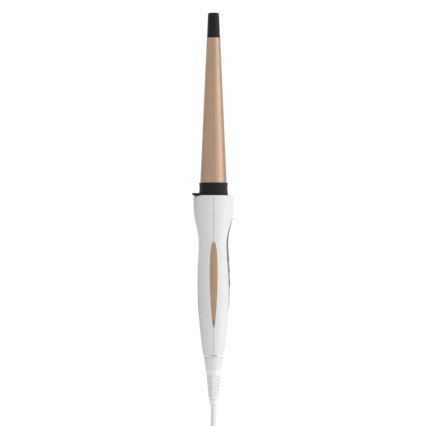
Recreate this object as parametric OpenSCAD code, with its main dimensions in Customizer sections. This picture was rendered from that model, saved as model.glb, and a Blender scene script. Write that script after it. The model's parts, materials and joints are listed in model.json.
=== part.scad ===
// Conical hair curling wand with a swivel mains cord, lying on a table as it does in use.
// The wand's own pieces are drawn upright: the wand's axis is Z, its tip points up, its
// control panel faces +X, and Z = 0 is the top of the handle. lay() puts them on the table,
// where the wand rests on the foot of its rest plate and on the belly of its handle.
// The frame's origin is the middle of that foot, the tip points to -X, and +Z is up.

/* [Barrel] */
// Barrel diameter where it leaves the collar
barrel_base_d = 25.2; // [23.6:0.1:27]
// Barrel diameter at the tip end
barrel_tip_d = 12.9; // [11.5:0.1:17]
// Length of the barrel above the collar
barrel_len = 137.6; // [110:0.2:170]
// Wall of the barrel
barrel_wall = 1.3; // [1:0.1:1.6]
// Diameter of the barrel's neck inside the collar
neck_d = 21; // [19.5:0.1:22]
// Chamfer round the barrel's tip end
barrel_chamfer = 0.35; // [0.1:0.05:0.6]

/* [Heater] */
// Length of the heater's two shoes
heater_len = 96; // [70:0.5:100]
// Thickness of the heating element between them
element_t = 2.6; // [2:0.1:3.5]
// Width of the heating element
element_w = 11; // [8:0.5:12]

/* [Cool tip] */
// Length of the cool tip above the barrel
tip_len = 23.6; // [14:0.1:34]
// How far the cool tip's side is set in from the barrel's edge
tip_inset = 0.25; // [0:0.05:0.5]
// Diameter of the cool tip at its end
tip_end_d = 10.6; // [8:0.1:11]
// Rounding of the end's edge
tip_round = 1; // [0.4:0.1:2]
// Length of the spigot that plugs into the barrel
spigot_len = 10; // [6:0.5:16]
// Wall of the cool tip
tip_wall = 1.6; // [1.2:0.1:2.2]

/* [Collar and rest plate] */
// How far the collar stands out past the barrel
collar_lip = 1.1; // [0.6:0.1:1.8]
// Height of the collar
collar_h = 9.8; // [7:0.1:14]
// How much the collar's side is waisted
collar_waist = 0.3; // [0:0.05:0.6]
// How far the plate's rim stands out past the collar
plate_rim = 0.2; // [0:0.1:1]
// Thickness of the rest plate
plate_t = 2.1; // [1.6:0.1:3]
// Distance of the rest plate's foot from the wand's axis
foot_reach = 20.1; // [19.8:0.1:22]
// Width of the foot
foot_w = 24; // [16:0.5:27]
// Length of the key under the lip, along the lip
key_len = 3.4; // [2:0.1:4]
// Width of the key
key_w = 6; // [3:0.5:9]
// Depth of the key below the plate
key_h = 1.2; // [0.8:0.1:1.8]

/* [Handle] */
// Diameter of the handle's head
head_d = 38; // [36:0.2:39]
// Length of the straight part of the head
head_len = 11; // [6:0.5:13]
// Rounding of the head's top edge
head_round = 1.7; // [0.8:0.1:2.4]
// Diameter of the waist
waist_d = 28.1; // [27:0.1:30]
// Distance of the waist below the top
waist_at = 45.5; // [42:0.5:50]
// Diameter of the belly
belly_d = 30.6; // [30:0.1:32]
// Distance of the belly below the top
belly_at = 80; // [74:0.5:88]
// Diameter of the tail
tail_d = 20; // [18.4:0.1:21]
// Length of the two shells
handle_len = 149.8; // [148:0.2:160]
// Wall of the shells
wall = 2; // [1.8:0.1:2.3]
// Thickness of the wall across the head's top
top_wall = 2.5; // [2:0.1:3]
// Length of the thick end that holds the cord's socket
tail_seat_len = 7; // [5:0.5:9]

/* [Trim and panel] */
// Length of the side inlays
inlay_len = 80.8; // [60:0.2:86]
// Distance of the side inlays below the top
inlay_at = 44; // [40:0.2:50]
// Width of the side inlays
inlay_w = 6.9; // [5:0.1:8.5]
// Thickness of the inlays and of the control panel
inlay_t = 1; // [0.8:0.1:1.1]
// Length of the control panel
panel_len = 86.4; // [82:0.2:96]
// Distance of the control panel below the top
panel_at = 21.7; // [19:0.1:24]
// Width of the control panel
panel_w = 13.6; // [13:0.1:15.5]
// How far the control panel stands proud
panel_proud = 0.25; // [0.1:0.05:0.5]

/* [Display and buttons] */
// Distance of the display's middle below the top
display_at = 43; // [41:0.2:45]
// Length of the display's window
display_len = 17; // [12:0.5:18]
// Width of the display's window
display_w = 8; // [6:0.1:9]
// Distance of the plus button below the top
plus_at = 60; // [58.5:0.1:61]
// Distance of the minus button below the top
minus_at = 70.5; // [69:0.1:72]
// Distance of the power button below the top
power_at = 83; // [81.5:0.1:85]
// Diameter of the plus and minus buttons
small_button_d = 6.2; // [5:0.1:7]
// Diameter of the power button
power_button_d = 7.6; // [6.4:0.1:8]
// How far the buttons stand proud of the handle
button_proud = 0.35; // [0.3:0.05:0.8]
// How far a button goes in
button_travel = 0.6; // [0.3:0.05:0.8]

/* [Cord end] */
// Length of the ring that closes the shells
end_ring_len = 3.7; // [2.4:0.1:5]
// Length of the swivel cap
cap_len = 16.3; // [12:0.1:20]
// Diameter of the swivel cap at the handle
cap_top_d = 18.1; // [16.8:0.1:18.8]
// Diameter of the swivel cap at its end
cap_end_d = 14.2; // [13:0.1:15]
// Length of the strain relief outside the cap
relief_len = 29.3; // [22:0.1:40]
// Diameter of the strain relief at the cap
relief_top_d = 13.1; // [11.4:0.1:13.2]
// Diameter of the strain relief's last rib
relief_end_d = 8.9; // [8.4:0.1:10]
// Distance from one rib of the strain relief to the next
rib_pitch = 2.2; // [1.8:0.1:3]
// Length of the rounded nose at the relief's end
nose_len = 5.8; // [4:0.1:9]
// Diameter of the mains cord
cord_d = 5; // [4.6:0.1:5]

/* [Plug] */
// Width of the plug's body across the pins
plug_w = 35.3; // [33:0.1:37]
// Thickness of the plug's body
plug_t = 13.7; // [12.5:0.1:15]
// Length of the plug's body
plug_len = 34; // [30:0.5:40]
// Length of the plug's own strain relief
plug_relief_len = 25; // [20:0.5:30]
// Distance between the two pins
pin_gap = 19; // [18:0.1:20]
// Diameter of a pin
pin_d = 4; // [3.8:0.1:4.2]
// Length of a pin outside the plug
pin_len = 19; // [17:0.5:21]
// Length of the insulating sleeve on a pin
sleeve_len = 10; // [8:0.5:11]

/* [Hidden] */
$fn = 48;

// Clearances and small constants shared by several pieces
fit = 0.1;
seat_gap = 0.1;
trim_gap = 0.15;
far = 100;
profile_step = 4.4;
black = [0.11, 0.11, 0.12];
white = [0.93, 0.93, 0.93];
rose_gold = [0.72, 0.56, 0.46];
steel = [0.72, 0.73, 0.75];
brass = [0.8, 0.65, 0.35];
grey = [0.5, 0.5, 0.52];

// Heights along the upright wand
collar_z = plate_t;
barrel_z = collar_z + collar_h;
barrel_top = barrel_z + barrel_len;
tip_top = barrel_top + tip_len;
neck_r = neck_d / 2;
clip_t = 1;
bushing_wall = 1.4;
bushing_r = neck_r + fit + bushing_wall;
bushing_len = 7;
flange_t = 2.2;
flange_r = bushing_r + 2.4;
groove_depth = 0.5;
neck_end = 2;
neck_bottom = -bushing_len - clip_t - neck_end;
collar_r = barrel_base_d / 2 + collar_lip;
plate_r = collar_r + plate_rim;

// The handle's outline: straight head, waist, belly and a tail that falls away as a parabola.
// d is the distance below the top of the handle.
function ease(t) = (1 - cos(180 * t)) / 2;
function mix(a, b, t) = a + (b - a) * t;
function handle_r(d) =
    d < head_len ? head_d / 2 :
    d < waist_at ? mix(head_d, waist_d, ease((d - head_len) / (waist_at - head_len))) / 2 :
    d < belly_at ? mix(waist_d, belly_d, ease((d - waist_at) / (belly_at - waist_at))) / 2 :
    mix(belly_d, tail_d, pow((d - belly_at) / (handle_len - belly_at), 2)) / 2;

// Points down the handle's side from depth a to depth b, set out by off from its surface
function side(a, b, off) = let(n = ceil((b - a) / profile_step))
    [for (i = [0:n]) let(d = mix(a, b, i / n)) [handle_r(d) + off, -d]];
function backwards(list) = [for (i = [len(list) - 1:-1:0]) list[i]];

// The wand lies on its foot and touches the table again where its tail is tangent to it.
tail_fall = pow(handle_len - belly_at, 2) / (2 * (belly_d - tail_d));
tilt = atan((sqrt(pow(belly_at, 2) + 4 * tail_fall * (foot_reach - belly_d / 2)) - belly_at)
    / (2 * tail_fall));
lie_x = foot_reach * sin(tilt) + plate_t / cos(tilt) / 2;
lie_z = foot_reach * cos(tilt);
module lay() translate([lie_x, 0, lie_z]) rotate([0, tilt - 90, 0]) children();
function laid(p) = [p[0] * sin(tilt) - p[2] * cos(tilt) + lie_x, p[1],
    p[0] * cos(tilt) + p[2] * sin(tilt) + lie_z];

// A round bar from height a to height b, and one that points along +X from a to b
module bar(r, a, b) translate([0, 0, a]) cylinder(r = r, h = b - a);
module tube(r1, r2, a, b) difference() {
    bar(r2, a, b);
    bar(r1, a - 1, b + 1);
}
module cross_bar(r, a, b, z) translate([a, 0, z]) rotate([0, 90, 0]) cylinder(r = r, h = b - a);
module front_half() translate([0, -far, -2 * far]) cube([far, 2 * far, 3 * far]);
module rear_half() mirror([1, 0, 0]) front_half();

// A leaf-shaped outline in the YZ plane, its blunt end up, swept along X
function leaf_half(s, peak) = s < peak
    ? pow(max(0, 1 - pow((peak - s) / peak, 2.6)), 1 / 2.6)
    : pow(max(0, 1 - pow((s - peak) / (1 - peak), 1.6)), 0.6);
leaf_peak = 0.4;
leaf_steps = 18;
function leaf(length, width) = let(
    edge = [for (i = [1:leaf_steps - 1]) let(s = ease(i / leaf_steps))
        [width / 2 * leaf_half(s, leaf_peak), -s * length]])
    concat([[0, 0]], edge, [[0, -length]], [for (p = backwards(edge)) [-p[0], p[1]]]);
module leaf_bar(length, width, at, grow) translate([0, 0, -at + grow]) rotate([90, 0, 90])
    linear_extrude(far) polygon(leaf(length + 2 * grow, width + 2 * grow));
// The layer of the handle between two distances from its surface, a and b deep along it
module skin(in, out, a, b) rotate_extrude() polygon(concat(side(a, b, in), backwards(side(a, b, out))));

// ---- Barrel and tip ----

barrel_r = barrel_base_d / 2;
barrel_tip_r = barrel_tip_d / 2;
function bore_r(z) = mix(barrel_r, barrel_tip_r, (z - barrel_z) / barrel_len) - barrel_wall;
shoulder_t = 2;
module barrel() lay() color(rose_gold) difference() {
    rotate_extrude() polygon([
        [neck_r - barrel_wall, neck_bottom], [neck_r, neck_bottom], [neck_r, barrel_z],
        [barrel_r, barrel_z], [barrel_tip_r, barrel_top - barrel_chamfer],
        [barrel_tip_r - barrel_chamfer, barrel_top],
        [barrel_tip_r - barrel_wall, barrel_top],
        [bore_r(barrel_z + shoulder_t), barrel_z + shoulder_t],
        [neck_r - barrel_wall, barrel_z + shoulder_t]]);
    tube(neck_r - groove_depth, neck_r + 1, -bushing_len - clip_t - fit, -bushing_len - fit / 2);
}

spigot_r = barrel_tip_r - barrel_wall - fit / 2;
module cool_tip() lay() color(black) rotate_extrude() polygon(concat(
    [[0, barrel_top + tip_wall + 3], [spigot_r - tip_wall, barrel_top + tip_wall],
     [spigot_r - tip_wall, barrel_top - spigot_len], [spigot_r, barrel_top - spigot_len],
     [spigot_r, barrel_top + seat_gap], [barrel_tip_r - tip_inset, barrel_top + seat_gap]],
    [for (a = [0:15:90]) [tip_end_d / 2 - tip_round * (1 - cos(a)), tip_top - tip_round * (1 - sin(a))]],
    [[0, tip_top]]));

// The heater lies inside the barrel: a flat ceramic element between two half-round shoes.
heater_foot = barrel_z + shoulder_t + 1;
element_gap = 0.05;
element_inset = 5;
sensor_r = 1.2;
fuse_r = 1.8;
well_x = 6;
well_depth = 8;
module shoe(well_r) difference() {
    translate([0, 0, heater_foot]) cylinder(
        r1 = bore_r(heater_foot) - fit, r2 = bore_r(heater_foot + heater_len) - fit, h = heater_len);
    translate([element_t / 2 - far, -far, 0]) cube([far, 2 * far, 3 * far]);
    translate([well_x, 0, 0]) bar(well_r + fit, 0, heater_foot + well_depth);
}
module heater_shoes() lay() color(steel) {
    shoe(sensor_r);
    rotate(180) shoe(fuse_r);
}
module heater_element() lay() color("ivory")
    translate([element_gap - element_t / 2, -element_w / 2, heater_foot])
        cube([element_t - 2 * element_gap, element_w, heater_len - element_inset]);
module temperature_sensor() lay() color(grey) translate([well_x, 0, 0])
    bar(sensor_r, heater_foot - 2, heater_foot + well_depth - fit);
module thermal_fuse() lay() color(steel) translate([-well_x, 0, 0])
    bar(fuse_r, heater_foot - 3, heater_foot + well_depth - fit);

// ---- Collar and rest plate ----

module collar() lay() color(black) rotate_extrude() polygon(concat(
    [[neck_r + fit, barrel_z], [neck_r + fit, collar_z]],
    [for (i = [0:8]) let(t = i / 8) [collar_r - collar_waist * sin(180 * t), collar_z + collar_h * t]]));

key_x = -head_d / 2 + head_round - 0.8;
rim_notch_w = 0.5;
rim_notch_depth = 0.4;
module rest_plate() lay() color(black) {
    difference() {
        intersection() {
            linear_extrude(plate_t) union() {
                circle(plate_r);
                polygon([[0, plate_r], [-foot_reach - 1, foot_w / 2],
                    [-foot_reach - 1, -foot_w / 2], [0, -plate_r]]);
            }
            translate([-foot_reach, 0, 0]) rotate([0, -tilt, 0])
                translate([0, -far, -far]) cube(2 * far);
        }
        bar(neck_r + fit, -1, plate_t + 1);
        for (s = [-1, 1]) translate([0, s * plate_r, 0])
            cube([rim_notch_w, 2 * rim_notch_depth, 3 * plate_t], center = true);
    }
    translate([key_x, -key_w / 2, -key_h]) cube([key_len, key_w, key_h]);
}

module neck_bushing() lay() color("tan") {
    tube(neck_r + fit / 2, bushing_r, -bushing_len, 0);
    tube(bushing_r, flange_r, -top_wall - fit - flange_t, -top_wall - fit);
}
module retaining_ring() lay() color(steel) difference() {
    tube(neck_r - groove_depth + fit / 2, neck_r + 2.2, -bushing_len - clip_t, -bushing_len - fit);
    translate([0, -2, -bushing_len - clip_t - 1]) cube([far, 4, clip_t + 2]);
}

// ---- Handle shells ----

// A rib under the head's top traps the flange of the neck bushing.
rib_from = top_wall + fit + flange_t + fit;
rib_t = 2;

// Things inside the handle stack up from the deck, the flat underside of the front shell.
deck_x = waist_d / 2 - wall - 1.05;
deck_half_w = 8.5;
deck_top = display_at - display_len / 2 - 4.5;
deck_bottom = power_at + power_button_d / 2 + 3.2;
button_flange_t = 1;
switch_h = 3.5;
switch_top = deck_x - fit - button_flange_t - button_travel - fit;
board_top = switch_top - switch_h;
board_t = 1.6;
board_w = 17;
board_from = panel_at + 2.3;
board_tail = 21;
board_to = power_at + board_tail;
post_at = [board_from + 4, board_to - 5];
post_r = 2.6;
boss_below_rib = 8.6;
socket_len = 14;
socket_bottom = handle_len - 1;
socket_top = socket_bottom - socket_len;
boss_share = 0.474;
boss_at = [rib_from + rib_t + boss_below_rib, mix(board_to, socket_top, boss_share)];
boss_r = 3.6;
screw_r = 1.5;
screw_head_r = 2.8;
screw_head_h = 2;
screw_seat = 7;
tail_bore_r = 6.3;
panel_depth = inlay_t + fit;
seam_w = 0.3;
seam_depth = 0.25;

module handle_solid() difference() {
    rotate_extrude() polygon(concat(
        [[0, 0]],
        [for (a = [90:-15:0]) [head_d / 2 - head_round * (1 - cos(a)), -head_round * (1 - sin(a))]],
        side(head_len, handle_len, 0), [[0, -handle_len]]));
    intersection() {
        skin(-seam_depth, 1, head_round, handle_len);
        cube([seam_w, 2 * far, 4 * far], center = true);
    }
}
module cavity() difference() {
    union() {
        rotate_extrude() polygon(concat([[0, -top_wall]], side(top_wall, handle_len - tail_seat_len, -wall),
            [[0, tail_seat_len - handle_len]]));
        bar(tail_bore_r, -handle_len - 1, 2 * tail_seat_len - handle_len);
        bar(bushing_r + fit, -top_wall - 1, 1);
    }
    tube(bushing_r + fit, head_d / 2, -rib_from - rib_t, -rib_from);
    for (d = boss_at) cross_bar(boss_r, -far, far, -d);
}
module inlay_recess() for (turn = [90, -90]) rotate(turn) intersection() {
    skin(-inlay_t - fit, 2, inlay_at - 4, inlay_at + inlay_len + 4);
    leaf_bar(inlay_len, inlay_w, inlay_at, trim_gap);
}
module window(length, width, z, from) translate([from, -width / 2, z - length / 2])
    cube([far, width, length]);

buttons = [[plus_at, small_button_d], [minus_at, small_button_d], [power_at, power_button_d]];
display_ledge = 1.2;
module front_shell() lay() color(white) difference() {
    intersection() {
        handle_solid();
        front_half();
    }
    difference() {
        cavity();
        translate([deck_x, -deck_half_w, -deck_bottom]) cube([far, 2 * deck_half_w, deck_bottom - deck_top]);
        for (d = post_at) cross_bar(post_r, board_top, far, -d);
    }
    inlay_recess();
    intersection() {
        skin(-panel_depth, 3, panel_at - 4, panel_at + panel_len + 4);
        leaf_bar(panel_len, panel_w, panel_at, trim_gap);
    }
    window(display_len - 2 * display_ledge, display_w - 2 * display_ledge, -display_at, deck_x - 1);
    for (b = buttons) cross_bar(b[1] / 2 + fit, deck_x - 1, far, -b[0]);
    for (d = post_at) cross_bar(pilot_r, board_top - 1, board_top + board_screw_len, -d);
    for (d = boss_at) cross_bar(screw_r + fit / 2, -1, screw_len - screw_seat + 1, -d);
}
module rear_shell() lay() color(white) difference() {
    intersection() {
        handle_solid();
        rear_half();
    }
    cavity();
    inlay_recess();
    for (d = boss_at) {
        cross_bar(screw_r + fit, -far, 1, -d);
        cross_bar(screw_head_r + fit, -far, -screw_seat, -d);
    }
    translate([key_x - fit - 2, -key_w / 2 - fit, -key_h - fit])
        cube([key_len + 2 * fit + 2, key_w + 2 * fit, key_h + 1]);
}
screw_len = 15;
module shell_screws() lay() color(steel) for (d = boss_at) difference() {
    union() {
        cross_bar(screw_r, -screw_seat - fit, screw_len - screw_seat, -d);
        cross_bar(screw_head_r, -screw_seat - fit - screw_head_h, -screw_seat - fit, -d);
    }
    for (a = [0, 90]) translate([-screw_seat - screw_head_h - fit, 0, -d]) rotate([a, 0, 0])
        translate([-1, -2, -0.4]) cube([2, 4, 0.8]);
}

// ---- Inlays, panel and buttons ----

// An inlay ends in a low foot, a point that lies sunk in the recess.
inlay_foot = 0.08;
foot_sunk = 0.45;
module inlay(turn) lay() color(rose_gold) rotate(turn) difference() {
    intersection() {
        skin(-inlay_t, 0, inlay_at - 2, inlay_at + inlay_len + 2);
        leaf_bar(inlay_len, inlay_w, inlay_at, 0);
    }
    skin(-foot_sunk, 1, inlay_at + inlay_len * (1 - inlay_foot), inlay_at + inlay_len + 2);
}
module left_inlay() inlay(-90);
module right_inlay() inlay(90);

module control_panel() lay() color(rose_gold) difference() {
    intersection() {
        skin(-inlay_t, panel_proud, panel_at - 2, panel_at + panel_len + 2);
        leaf_bar(panel_len, panel_w, panel_at, 0);
    }
    window(display_len + 2 * fit, display_w + 2 * fit, -display_at, 0);
    for (b = buttons) cross_bar(b[1] / 2 + fit, 0, far, -b[0]);
}
module display_lens() lay() color(black) intersection() {
    skin(-inlay_t, panel_proud - fit, panel_at, panel_at + panel_len);
    window(display_len, display_w, -display_at, 0);
}
stem_r = 1.5;
module button(at, d) lay() color(black) {
    intersection() {
        rotate_extrude() polygon(concat([[0, -at + d]], side(at - d, at + d, button_proud), [[0, -at - d]]));
        cross_bar(d / 2, deck_x - fit, far, -at);
    }
    cross_bar(d / 2 + 0.9, deck_x - fit - button_flange_t, deck_x - fit, -at);
    cross_bar(stem_r, switch_top - fit, deck_x - fit - button_flange_t, -at);
}
module plus_button() button(plus_at, small_button_d);
module minus_button() button(minus_at, small_button_d);
module power_button() button(power_at, power_button_d);

// ---- Control board ----

pilot_r = 1.05;
board_screw_len = 5;
switch_w = 6;
module control_board() lay() color("seagreen") difference() {
    translate([board_top - board_t, -board_w / 2, -board_to]) cube([board_t, board_w, board_to - board_from]);
    for (d = post_at) cross_bar(pilot_r + fit, 0, far, -d);
}
module board_screws() lay() color(steel) for (d = post_at) {
    cross_bar(pilot_r - fit / 2, board_top - board_t, board_top + board_screw_len - fit, -d);
    cross_bar(2.1, board_top - board_t - 1.6, board_top - board_t, -d);
}
module on_board(length, width, h, d) translate([board_top, -width / 2, -d - length / 2])
    cube([h, width, length]);
module under_board(length, width, h, d) translate([board_top - board_t - h, -width / 2, -d - length / 2])
    cube([h, width, length]);
module tact_switches() lay() color(grey) for (b = buttons) difference() {
    on_board(switch_w, switch_w, switch_h, b[0]);
    cross_bar(stem_r + fit, switch_top - button_travel - 3 * fit, far, -b[0]);
}
display_t = 2;
module display_unit() lay() color("darkseagreen")
    translate([deck_x - fit - display_t, -display_w / 2, -display_at - display_len / 2])
        cube([display_t, display_w, display_len]);
module display_holder() lay() color("white")
    on_board(display_len, display_w, deck_x - fit - display_t - board_top, display_at);
module control_chip() lay() color(black) under_board(9, 7, 1.5, plus_at);
module power_capacitor() lay() color("darkred") under_board(13, 10, 6, power_at - 5);
triac_w = 10;
triac_body = 9;
triac_tab = 15;
module power_triac() lay() color(black) {
    under_board(triac_body, triac_w, 4.4, display_at);
    under_board(triac_tab, triac_w, 1.3, display_at - (triac_tab - triac_body) / 2);
}

// A tube of radius r swept through points: each ring is square to the path there, and up
// is any direction that the path never takes.
function unit(v) = v / norm(v);
function along(p, i) = unit(p[min(i + 1, len(p) - 1)] - p[max(i - 1, 0)]);
function ring(p, i, r, up, sides) = let(t = along(p, i), n = unit(cross(up, t)), b = cross(t, n))
    [for (k = [0:sides - 1]) p[i] + r * (cos(360 * k / sides) * n + sin(360 * k / sides) * b)];
module swept(p, r, up, sides) {
    last = (len(p) - 1) * sides;
    walls = [for (i = [0:len(p) - 2], k = [0:sides - 1]) let(a = i * sides, j = (k + 1) % sides)
        [a + k, a + j, a + j + sides, a + k + sides]];
    near_end = [for (k = [sides - 1:-1:0]) k];
    far_end = [for (k = [0:sides - 1]) last + k];
    polyhedron([for (i = [0:len(p) - 1]) each ring(p, i, r, up, sides)],
        [for (f = concat([near_end], walls, [far_end])) backwards(f)]);
}

// Insulated wires inside the wand: flexible leads between the board, the heater and the socket
wire_r = 0.7;
wire_sides = 8;
board_mid = board_top - board_t / 2;
lead_y = 4;
module heater_leads() lay() color("firebrick") for (s = [-1, 1]) swept([
    [0, s * lead_y, heater_foot - fit], [0, s * lead_y, 6], [0.4, s * (lead_y + 0.6), 0],
    [board_mid - 0.6, s * 6.4, -9], [board_mid, s * 7, -14], [board_mid, s * 7, fit - board_from]],
    wire_r, [1, 0, 0], wire_sides);
mains_y = boss_r + wire_r + 0.6;
function lead_d(t) = mix(board_to, socket_top, t);
module mains_leads() lay() color("royalblue") for (s = [-1, 1]) swept([
    [board_mid, s * mains_y, -board_to - fit], [board_mid, s * mains_y, -lead_d(0.1)],
    [board_mid - 0.6, s * mains_y, -lead_d(0.25)], [board_mid / 2, s * (mains_y + 0.4), -lead_d(0.5)],
    [0.6, s * (lead_end_y + 0.4), -lead_d(0.75)], [0, s * lead_end_y, -lead_d(0.9)],
    [0, s * lead_end_y, fit - socket_top]], wire_r, [1, 0, 0], wire_sides);

// ---- Cord end ----

ring_top = handle_len;
ring_bottom = handle_len + end_ring_len;
cap_top = ring_bottom + fit;
cap_bottom = cap_top + cap_len;
relief_bottom = cap_bottom + relief_len;
spindle_r = 3.4;
spindle_flange_r = 5.5;
spindle_foot_r = 4.2;
spindle_foot_len = 8;
spindle_bore_r = 1.8;
plug_in_len = 4;
socket_r = tail_bore_r - fit;
ring_inner_r = spindle_flange_r + fit;
lip_r = cap_top_d / 2 - 1.1;
lip_h = 0.4;
ring_outer_r = tail_d / 2;
// The ring's shoulder: how far it has come in to the cap's radius, and where along its length
ring_form = [[0, 0.03], [0.1, 0.14], [0.3, 0.25], [0.62, 0.5], [0.7, 0.77], [0.9, 0.95]];
slot_w = 9;
slot_h = 0.6;
slot_at = -mix(ring_top, ring_bottom, 0.5);
slot_r = (pow(slot_w, 2) + pow(slot_h, 2)) / (4 * slot_h);

// The end ring has a lens-shaped slot on each side, below the end of the seam.
module end_ring() lay() color(white) difference() {
    rotate_extrude() polygon(concat([[ring_inner_r, -ring_top], [ring_outer_r - 0.1, -ring_top]],
        [for (p = ring_form) [mix(ring_outer_r, cap_top_d / 2, p[0]), -ring_top - end_ring_len * p[1]]],
        [[cap_top_d / 2 - 0.1, -ring_bottom], [ring_inner_r, -ring_bottom]]));
    bar(lip_r + fit, -ring_bottom - 1, -ring_bottom + lip_h);
    intersection_for(s = [-1, 1]) translate([0, -far / 2, slot_at + s * (slot_r - slot_h / 2)])
        rotate([-90, 0, 0]) cylinder(r = slot_r, h = far);
}
lead_end_y = socket_r - wire_r;
brush_z = [socket_top + 4, socket_top + 9];
brush_w = 3;
spindle_groove_r = spindle_r - 0.6;
module swivel_socket() lay() color(grey) difference() {
    bar(socket_r, -socket_bottom, -socket_top);
    bar(spindle_r + fit, -socket_bottom - 1, -socket_top + 1);
    for (s = [-1, 1]) translate([-1.6, s * (spindle_r + 0.8) - 0.8, -socket_bottom + 2])
        cube([3.2, 1.6, socket_bottom - socket_top]);
}
module brush_contacts() lay() color(brass) for (s = [-1, 1]) {
    translate([-1.5, s * (spindle_r + 0.9) - 0.6, -socket_bottom + 2.1])
        cube([3, 1.2, socket_bottom - socket_top - 2.2]);
}
module swivel_spindle() lay() color(black) difference() {
    union() {
        bar(spindle_flange_r, -cap_top, -ring_top - fit);
        bar(spindle_r, -cap_top, -socket_top + 3);
        bar(spindle_foot_r, -cap_top - spindle_foot_len, -cap_top);
    }
    bar(spindle_bore_r, -cap_top - spindle_foot_len - 1, -socket_top + 4);
    for (d = brush_z) tube(spindle_groove_r, spindle_r + 1, -d - brush_w / 2, -d + brush_w / 2);
    tube(spindle_groove_r, spindle_r + 1, -socket_top + fit, -socket_top + fit + 1);
}
module slip_rings() lay() color(brass) for (d = brush_z)
    tube(spindle_groove_r + fit / 2, spindle_r, -d - brush_w / 2 + fit / 2, -d + brush_w / 2 - fit / 2);
module spindle_clip() lay() color(steel) difference() {
    tube(spindle_groove_r + fit / 2, spindle_r + 1.2, -socket_top + fit, -socket_top + fit + 0.8);
    translate([0, -1.5, -socket_top]) cube([far, 3, 3]);
}
relief_head_r = 5;
cap_round = 0.6;
cap_round_h = 2;
module swivel_cap() lay() color(white) difference() {
    rotate_extrude() polygon(concat([[0, -cap_top], [ring_inner_r, -cap_top],
        [ring_inner_r, -cap_top + lip_h], [lip_r, -cap_top + lip_h], [lip_r, -cap_top],
        [cap_top_d / 2 - 0.2, -cap_top], [cap_top_d / 2, -cap_top - 0.2]],
        [for (a = [0:15:90])
            [cap_end_d / 2 - cap_round * (1 - cos(a)), -cap_bottom + cap_round_h * (1 - sin(a))]],
        [[0, -cap_bottom]]));
    bar(spindle_foot_r + fit / 2, -cap_top - spindle_foot_len - fit, -cap_top + 1);
    bar(relief_head_r + fit / 2, -cap_bottom - 1, -cap_bottom + plug_in_len);
    bar(2, -cap_bottom - 1, -cap_top + 1);
}

// The strain relief: ribs on a tapering core, tied by four spines, then a rounded nose.
spine_w = 2.6;
rib_depth = 0.7;
rib_w = 1.2;
nose_r = relief_end_d / 2 - 0.4;
nose_end_r = cord_d / 2 + 0.5;
nose_top = relief_bottom - nose_len;
rib_count = floor((nose_top - cap_bottom) / rib_pitch);
function relief_r(d) = mix(relief_top_d, relief_end_d, (d - cap_bottom) / (nose_top - cap_bottom)) / 2;
module relief_cone(off) rotate_extrude() polygon([[0, -cap_bottom],
    [relief_r(cap_bottom) + off, -cap_bottom], [relief_r(nose_top) + off, -nose_top],
    [0, -nose_top]]);
module strain_relief() lay() color(white) difference() {
    union() {
        relief_cone(-rib_depth);
        bar(relief_head_r, -cap_bottom - 1, -cap_bottom + plug_in_len - fit);
        intersection() {
            relief_cone(0);
            union() {
                for (i = [0:rib_count - 1]) let(d = cap_bottom + i * rib_pitch)
                    bar(relief_top_d, -d - rib_w, -d);
                for (turn = [0, 90]) rotate(turn) translate([-relief_top_d, -spine_w / 2, -relief_bottom])
                    cube([2 * relief_top_d, spine_w, relief_len]);
            }
        }
        rotate_extrude() polygon(concat([[0, -relief_bottom], [0, 1 - nose_top],
            [nose_r - 0.6, 1 - nose_top], [nose_r - 0.6, -nose_top], [nose_r, -nose_top - 0.5]],
            [for (a = [0:15:90])
                [mix(nose_end_r, nose_r, cos(a)), -nose_top - 1 - (nose_len - 1) * sin(a)]]));
    }
    bar(cord_d / 2 + fit, -relief_bottom - 1, -nose_top + 1);
}

// ---- Mains cord ----

// The cord leaves the relief along the wand's axis, drops to the table and swings to the
// outer run of the hank.
cord_r = cord_d / 2;
cord_sides = 10;
tie_t = 1;
tie_w = 14;
fold_r = 20;
hank_from = 277;
free_len = 8;
free_end = laid([0, 0, -relief_bottom - free_len]);
lying_z = tie_t + cord_r;
tail_route = concat([for (d = [nose_top, relief_bottom]) laid([0, 0, -d])], [free_end],
    [for (p = [[0.103, 0, 0.916], [0.206, 0.015, 0.795], [0.309, 0.08, 0.622], [0.412, 0.2, 0.449],
        [0.515, 0.37, 0.277], [0.618, 0.56, 0.156], [0.721, 0.75, 0.069], [0.824, 0.9, 0.017],
        [0.912, 0.98, 0], [1, 1, 0]])
    [mix(free_end[0], hank_from, p[0]), fold_r * p[1], mix(lying_z, free_end[2], p[2])]]);
module cord_tail() color(white) swept(tail_route, cord_r, [0, 0, 1], cord_sides);

// The rest of the cord is folded into a hank in line with the wand: six long turns, two side
// by side and three deep, pinched by a tie. It lies on the tie's thickness.
run_half = 42.5;
hank_x = hank_from + run_half;
pinch = 7.5;
layers = 3;
hank_top = tie_t + layers * cord_d;
function hank_half_w(x) = let(t = (x - tie_w / 2 - 1) / (run_half - tie_w / 2 - 1))
    fold_r + cord_r - pinch * (1 - (t <= 0 ? 0 : t * t * (3 - 2 * t)));
module cord_hank() color(white) translate([hank_x, 0, tie_t]) linear_extrude(layers * cord_d) {
    run = [for (i = [-10:10]) let(x = i * run_half / 10) [x, hank_half_w(abs(x))]];
    fold = [for (a = [75:-15:-75]) [run_half + (fold_r + cord_r) * cos(a), (fold_r + cord_r) * sin(a)]];
    polygon(concat(run, fold, [for (p = run) -p], -fold));
}
module cord_tie() color(grey) translate([hank_x - tie_w / 2, 0, 0]) rotate([90, 0, 90]) linear_extrude(tie_w)
    difference() {
        translate([-hank_half_w(0) - tie_t, 0]) square([2 * (hank_half_w(0) + tie_t), hank_top + tie_t]);
        translate([-hank_half_w(0), tie_t]) square([2 * hank_half_w(0), hank_top - tie_t]);
    }

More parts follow.
